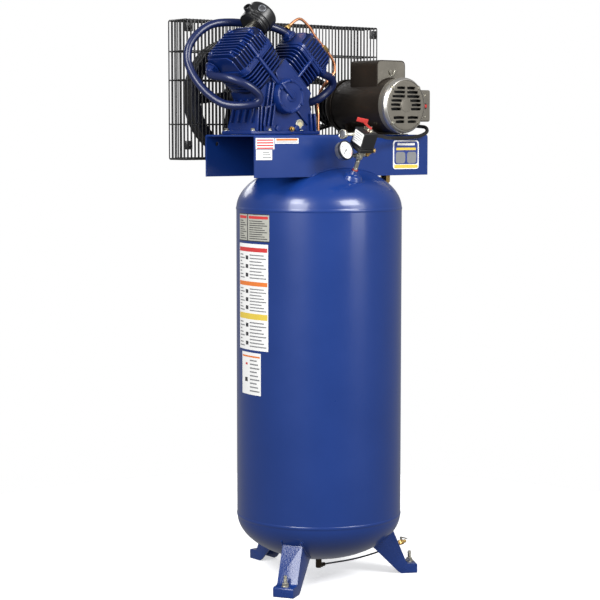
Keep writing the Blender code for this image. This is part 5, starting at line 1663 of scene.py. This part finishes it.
# ---- guard ----
WIRE_RADIUS = 0.002
WIRE_PITCH = 0.0134
LEVEL_WIRES = (1.401, 1.533, 1.619)
SHAFT_HOLES = ((CRANK_X, CRANK_Z, 0.05), (MOTOR_X, MOTOR_Z, 0.03))
GUARD = {"left": -0.396, "right": 0.367, "front": 0.14, "rear": 0.24, "bottom": 1.294, "top": 1.714}


def wires(routes, radius, sides=8):
    parts = [(pipe(route, radius, sides), HERE) for route in routes]
    return merged(parts, 50)


def ring_route(corners):
    """A closed rectangle of wire with its corners a little rounded."""
    out = []
    count = len(corners)
    for i, corner in enumerate(corners):
        here = Vector(corner)
        before = Vector(corners[i - 1])
        after = Vector(corners[(i + 1) % count])
        out.append(here + (before - here).normalized() * 0.005)
        out.append(
            here + (before - here).normalized() * 0.0015 + (after - here).normalized() * 0.0015
        )
        out.append(here + (after - here).normalized() * 0.005)
    return out + [out[0]]


def make_guard():
    g = GUARD
    wire = WIRE_RADIUS
    left = g["left"] + wire
    right = g["right"] - wire
    front = g["front"] + wire
    rear = g["rear"] - wire
    low = g["bottom"] + wire
    high = g["top"] - wire
    loops = []
    count = round((right - left - 0.006) / WIRE_PITCH)
    for i in range(count + 1):
        x = left + 0.003 + (right - left - 0.006) * i / count
        loops.append(
            (x, ring_route([(x, front, low), (x, front, high), (x, rear, high), (x, rear, low)]))
        )
    routes = []
    for x, route in loops:
        broken = None
        for centre, height, radius in SHAFT_HOLES:
            if abs(x - centre) < radius:
                broken = math.sqrt(radius ** 2 - (x - centre) ** 2)
                middle = height
        if broken is None:
            routes.append(route)
            continue
        corners = [(front, middle - broken), (front, low), (rear, low)]
        corners += [(rear, high), (front, high), (front, middle + broken)]
        routes.append([Vector((x, y, z)) for y, z in corners])
    cad = ["guard_front_panel", "guard_rear_panel", "guard_rim"]
    piece("guard_upright_wires", wires(routes, wire), "black_wire", replaces=cad)
    bands = []
    heights = [low + 0.002, *LEVEL_WIRES, high - 0.002]
    inner = wire * 1.9
    for z in heights:
        corners = [
            (left, front + inner, z), (right, front + inner, z), (right, rear - inner, z),
            (left, rear - inner, z),
        ]
        bands.append(ring_route(corners))
    for z in (low, high):
        for y in (front + 0.033, front + 0.064):
            shift = inner if z == low else -inner
            bands.append([Vector((left, y, z + shift)), Vector((right, y, z + shift))])
    for *centre, radius in SHAFT_HOLES:
        hoop = [Vector((x, front + inner, z)) for x, z in circle(centre, radius, 48)]
        bands.append(hoop + [hoop[0]])
    piece("guard_level_wires", wires(bands, wire * 1.1), "black_wire")
    ends = []
    for x in (left + inner * 0.5, right - inner * 0.5):
        for i in range(1, 6):
            y = front + (rear - front) * i / 6
            ends.append([Vector((x, y, low)), Vector((x, y, high))])
    piece("guard_end_wires", wires(ends, wire), "black_wire")
    clips = []
    for x, z in ((-0.382, 1.689), (-0.386, 1.339), (0.352, 1.69), (0.352, 1.33)):
        clips.append((block((0.026, 0.01, 0.026), (x, front + 0.006, z), 0.002, 2), HERE))
        clips.append((bolt(0.009, 0.005), facing((x, front + 0.0005, z), -Y_AXIS)))
    piece("guard_clips", merged(clips), "black_wire")


# ---- wiring ----
def make_conduit():
    switch_side = switch_box_frame() @ Vector((0, 0.0234, 0.045))
    leaving = (switch_box_frame().to_3x3() @ Y_AXIS).normalized()
    route = [
        switch_side,
        switch_side + leaving * 0.018,
        (0.06, -0.22, 1.365), (0.105, -0.193, 1.361), (0.15, -0.17, 1.36), (0.22, -0.156, 1.36),
        (0.285, -0.145, 1.366), (0.321, -0.138, 1.378), (0.326, -0.128, 1.392),
        (0.314, -0.105, 1.396), (0.307, -0.085, 1.4), (0.307, -0.085, 1.4097),
    ]
    piece(
        "switch_conduit_hose", pipe(smooth_route(route, 0.004), 0.0055, 18), "black_plastic",
        replaces=["switch_conduit"],
    )


# ---- labels ----
def tank_patch(angle, width, low, high, lift):
    """A thin label that wraps the tank's side. Angle is degrees about the axis, to its middle."""
    radius = TANK_RADIUS + lift
    columns = max(2, round(width / 0.006))
    bm = bmesh.new()
    rows = []
    for z in (low, high):
        for layer in (0, 1):
            row = []
            for i in range(columns + 1):
                along = (i / columns - 0.5) * width
                turn = math.radians(angle) + along / TANK_RADIUS
                reach = radius + 0.00012 * layer
                row.append(bm.verts.new((reach * math.cos(turn), reach * math.sin(turn), z)))
            rows.append(row)
    low_in, low_out, high_in, high_out = rows
    for i in range(columns):
        bm.faces.new((low_out[i], low_out[i + 1], high_out[i + 1], high_out[i]))
        bm.faces.new((low_in[i + 1], low_in[i], high_in[i], high_in[i + 1]))
        bm.faces.new((low_in[i], low_in[i + 1], low_out[i + 1], low_out[i]))
        bm.faces.new((high_in[i + 1], high_in[i], high_out[i], high_out[i + 1]))
    for i in (0, columns):
        order = (low_in[i], low_out[i], high_out[i], high_in[i])
        bm.faces.new(order if i == 0 else order[::-1])
    bmesh.ops.recalc_face_normals(bm, faces=bm.faces)
    return finished(bm, 60)


def tank_label(name, angle, width, low, high, look, bars):
    """A label and its plain bars: each is (look, left, right, low, high) as shares of the label."""
    piece(name, tank_patch(angle, width, low, high, 0.0002), look)
    groups = {}
    for bar_look, left, right, bottom, top in bars:
        middle = ((left + right) / 2 - 0.5) * width
        turn = angle + math.degrees(middle / TANK_RADIUS)
        z_low = low + (high - low) * bottom
        z_high = low + (high - low) * top
        patch = tank_patch(turn, (right - left) * width, z_low, z_high, 0.00036)
        groups.setdefault(bar_look, []).append((patch, HERE))
    for bar_look, parts in groups.items():
        piece(f"{name}_{bar_look}", merged(parts, 60), bar_look)


def text_bars(low, high, count, left=0.08, right=0.92, look="grey_print"):
    """Plain short bars in place of print."""
    bars = []
    for i in range(count):
        step = (high - low) / count
        z = low + step * (i + 0.3)
        end = right - 0.12 * ((i * 7) % 3) / 2
        bars.append((look, left, end, z, z + step * 0.36))
    return bars


def panel_label(name, left, right, low, high, look, bars, corner):
    """A flat label on the platform's front, with plain bars given as tank_label's are."""
    front = -PLATFORM_WIDTH / 2 - 0.0004
    place = at((left + right) / 2, front, (low + high) / 2) @ spun(90, "X")
    width = right - left
    height = high - low
    sheet = slab([rounded_box(-width / 2, width / 2, -height / 2, height / 2, corner)], 0.0004)
    piece(name, sheet, look, place)
    groups = {}
    for bar_look, start, end, bottom, top in bars:
        box = rounded_box(
            (start - 0.5) * width, (end - 0.5) * width,
            (bottom - 0.5) * height, (top - 0.5) * height,
            min(corner, (end - start) * width / 3, (top - bottom) * height / 3),
        )
        lift = 0.0002 if bar_look == "blue_print" else 0.0004
        groups.setdefault(bar_look, []).append((slab([box], 0.0004), at(0, 0, lift)))
    for bar_look, parts in groups.items():
        piece(f"{name}_{bar_look}", merged(parts, 60), bar_look, place)


def make_labels():
    notes = [
        ("red_print", 0.03, 0.34, 0.82, 0.92), ("red_print", 0.42, 0.97, 0.82, 0.92),
        ("dark_print", 0.36, 0.39, 0.02, 0.98),
    ]
    notes += [("dark_print", 0.0, 1.0, 0.0, 0.035), ("dark_print", 0.0, 1.0, 0.97, 1.0)]
    notes += text_bars(0.07, 0.78, 9, 0.05, 0.33, "dark_print") + text_bars(
        0.07, 0.78, 9, 0.44, 0.95, "dark_print",
    )
    tank_label("tank_label_upper", 177.0, 0.156, 1.052, 1.135, "pale_print", notes)
    notes = [
        ("red_print", 0.02, 0.98, 0.925, 0.965),
        ("orange_print", 0.02, 0.98, 0.605, 0.645),
        ("yellow_print", 0.02, 0.98, 0.29, 0.345),
    ]
    for low, high, rows in ((0.665, 0.91, 8), (0.36, 0.59, 8), (0.02, 0.275, 8)):
        notes += text_bars(low, high, rows, 0.05, 0.26, "grey_print")
        notes += text_bars(low, high, rows, 0.46, 0.95, "grey_print")
        step = (high - low) / 3
        for i in range(3):
            middle = low + step * (i + 0.5)
            notes.append(("dark_print", 0.31, 0.41, middle - 0.018, middle + 0.018))
    tank_label("tank_label_middle", 176.5, 0.152, 0.725, 1.045, "white_print", notes)
    notes = [("orange_print", 0.04, 0.96, 0.885, 0.925)]
    notes += text_bars(0.05, 0.86, 9, 0.48, 0.94, "grey_print")
    notes += [("dark_print", 0.2, 0.36, 0.3, 0.4), ("red_print", 0.24, 0.36, 0.7, 0.75)]
    tank_label("tank_label_lower", 175.5, 0.101, 0.589, 0.717, "white_print", notes)
    strip = [("orange_print", 0.05, 0.95, 0.56, 0.92)] + text_bars(
        0.1, 0.5, 2, 0.05, 0.95, "grey_print",
    )
    panel_label("platform_strip", -0.2684, -0.1799, 1.344, 1.36, "white_print", strip, corner=0.001)
    stripes = [("red_print", 0.06, 0.94, 0.04 + 0.24 * i, 0.16 + 0.24 * i) for i in range(4)]
    panel_label(
        "platform_patch", -0.34, -0.271, 1.328, 1.3605, "white_print", stripes, corner=0.001,
    )
    strip = text_bars(0.15, 0.9, 3, 0.4, 0.95, "grey_print")
    panel_label("platform_tag", -0.3387, -0.2797, 1.297, 1.3262, "white_print", strip, corner=0.001)
    plate = [
        ("blue_print", 0.045, 0.955, 0.17, 0.965),
        ("white_print", 0.16, 0.84, 0.83, 0.91),
        ("yellow_print", 0.12, 0.88, 0.66, 0.75),
        ("grey_print", 0.1, 0.47, 0.2, 0.6),
        ("grey_print", 0.54, 0.9, 0.2, 0.6),
        ("yellow_print", 0.045, 0.955, 0.035, 0.15),
    ]
    panel_label("platform_plate", 0.1965, 0.3045, 1.264, 1.352, "white_print", plate, corner=0.01)


# ---- build ----
make_tank()
for leg_name, leg_angle in LEG_ANGLES.items():
    make_leg(leg_name, leg_angle)
    cad_bolt = leg_name.replace("leg", "anchor_bolt")
    make_anchor(leg_name.replace("leg", "anchor_stud"), leg_angle, cad_bolt)
make_platform()
make_drain()
make_crankcase()
make_crank_cover()
for bank_key in BANKS:
    make_cylinder(bank_key)
    make_head(bank_key)
make_long_rib()
make_pump_details()
make_filter()
make_pump_tubes()
make_check_valve()
make_controls()
make_motor()
make_flywheel()
make_pulley()
make_belts()
make_guard()
make_conduit()
make_labels()


# ---- stage, camera and lights: angles are in degrees and the lens in millimetres ----
FLOOR_RADIUS = 1.7
FLOOR_GLOW = 0.55
WORLD_LIGHT = 0.28


def make_stage():
    bm = bmesh.new()
    bmesh.ops.create_circle(bm, cap_ends=True, segments=96, radius=FLOOR_RADIUS)
    floor = linked("studio_floor", finished(bm))
    floor.location = (0, 0, -0.0005)
    pale = finish(
        "studio_floor_paint", (0.9, 0.9, 0.9), 0.7, grain=(20, 0.0), tone=(2, 0.01), specular=0.1,
    )
    floor.data.materials.append(pale)
    shader = pale.node_tree.nodes["Principled BSDF"]
    shader.inputs["Emission Color"].default_value = (1, 1, 1, 1)
    shader.inputs["Emission Strength"].default_value = FLOOR_GLOW
    floor.visible_diffuse = False
    floor.visible_glossy = False
    world = bpy.data.worlds.new("studio")
    world.use_nodes = True
    tree = world.node_tree
    soft = tree.nodes["Background"]
    soft.inputs["Color"].default_value = (1, 1, 1, 1)
    soft.inputs["Strength"].default_value = WORLD_LIGHT
    backdrop = tree.nodes.new("ShaderNodeBackground")
    backdrop.inputs["Color"].default_value = (1, 1, 1, 1)
    backdrop.inputs["Strength"].default_value = 1.0
    seen = tree.nodes.new("ShaderNodeLightPath")
    choose = tree.nodes.new("ShaderNodeMixShader")
    tree.links.new(seen.outputs["Is Camera Ray"], choose.inputs["Fac"])
    tree.links.new(soft.outputs["Background"], choose.inputs[1])
    tree.links.new(backdrop.outputs["Background"], choose.inputs[2])
    tree.links.new(choose.outputs["Shader"], tree.nodes["World Output"].inputs["Surface"])
    bpy.context.scene.world = world


def aim_at(made, place, direction):
    """Stands a light or a camera at place, looking along direction."""
    turn = direction.to_track_quat("-Z", "Y").to_matrix().to_4x4()
    made.matrix_world = Matrix.Translation(place) @ turn


def area_light(name, place, aim, size, power):
    data = bpy.data.lights.new(name, "AREA")
    data.shape = "RECTANGLE"
    data.size, data.size_y = size
    data.energy = power
    aim_at(linked(name, data), place, Vector(aim) - Vector(place))


CAMERA_DISTANCE = 5.5
CAMERA_HEIGHT = 1.377
CAMERA_AZIMUTH = 40
CAMERA_SWING = 0.60814
CAMERA_TILT = 5.35
CAMERA_LENS = 107.4
CAMERA_SENSOR = 36


def make_camera():
    """The camera stands to the front left, a little above the tank, and looks a little down."""
    azimuth = math.radians(CAMERA_AZIMUTH)
    side = -CAMERA_DISTANCE * math.sin(azimuth)
    back = -CAMERA_DISTANCE * math.cos(azimuth)
    place = BASE @ Vector((side, back, CAMERA_HEIGHT))
    heading = azimuth - math.radians(CAMERA_SWING)
    tilt = math.radians(CAMERA_TILT)
    flat = Vector((math.sin(heading), math.cos(heading), 0))
    forward = flat * math.cos(tilt) - Z_AXIS * math.sin(tilt)
    data = bpy.data.cameras.new("photo_camera")
    data.sensor_width = CAMERA_SENSOR
    data.lens = CAMERA_LENS
    data.clip_end = 100
    camera = linked("photo_camera", data)
    aim_at(camera, place, forward)
    bpy.context.scene.camera = camera


make_stage()
make_camera()
area_light("key_light", (-4.12, -1.66, 2.6), (0, 0, 1.0), (2.0, 2.4), 145)
area_light("fill_light", (1.2, -4.6, 2.0), (0, 0, 0.9), (1.8, 2.4), 58)
area_light("left_softbox", (-3.3, -1.0, 3.7), (0, 0, 1.2), (1.2, 1.2), 75)
area_light("right_softbox", (0.4, -3.7, 3.3), (0, 0, 1.2), (1.8, 1.4), 135)
area_light("rim_light", (0.8, 4.2, 3.2), (0, 0, 1.1), (2.4, 1.6), 45)
bpy.context.scene.view_settings.view_transform = "Standard"
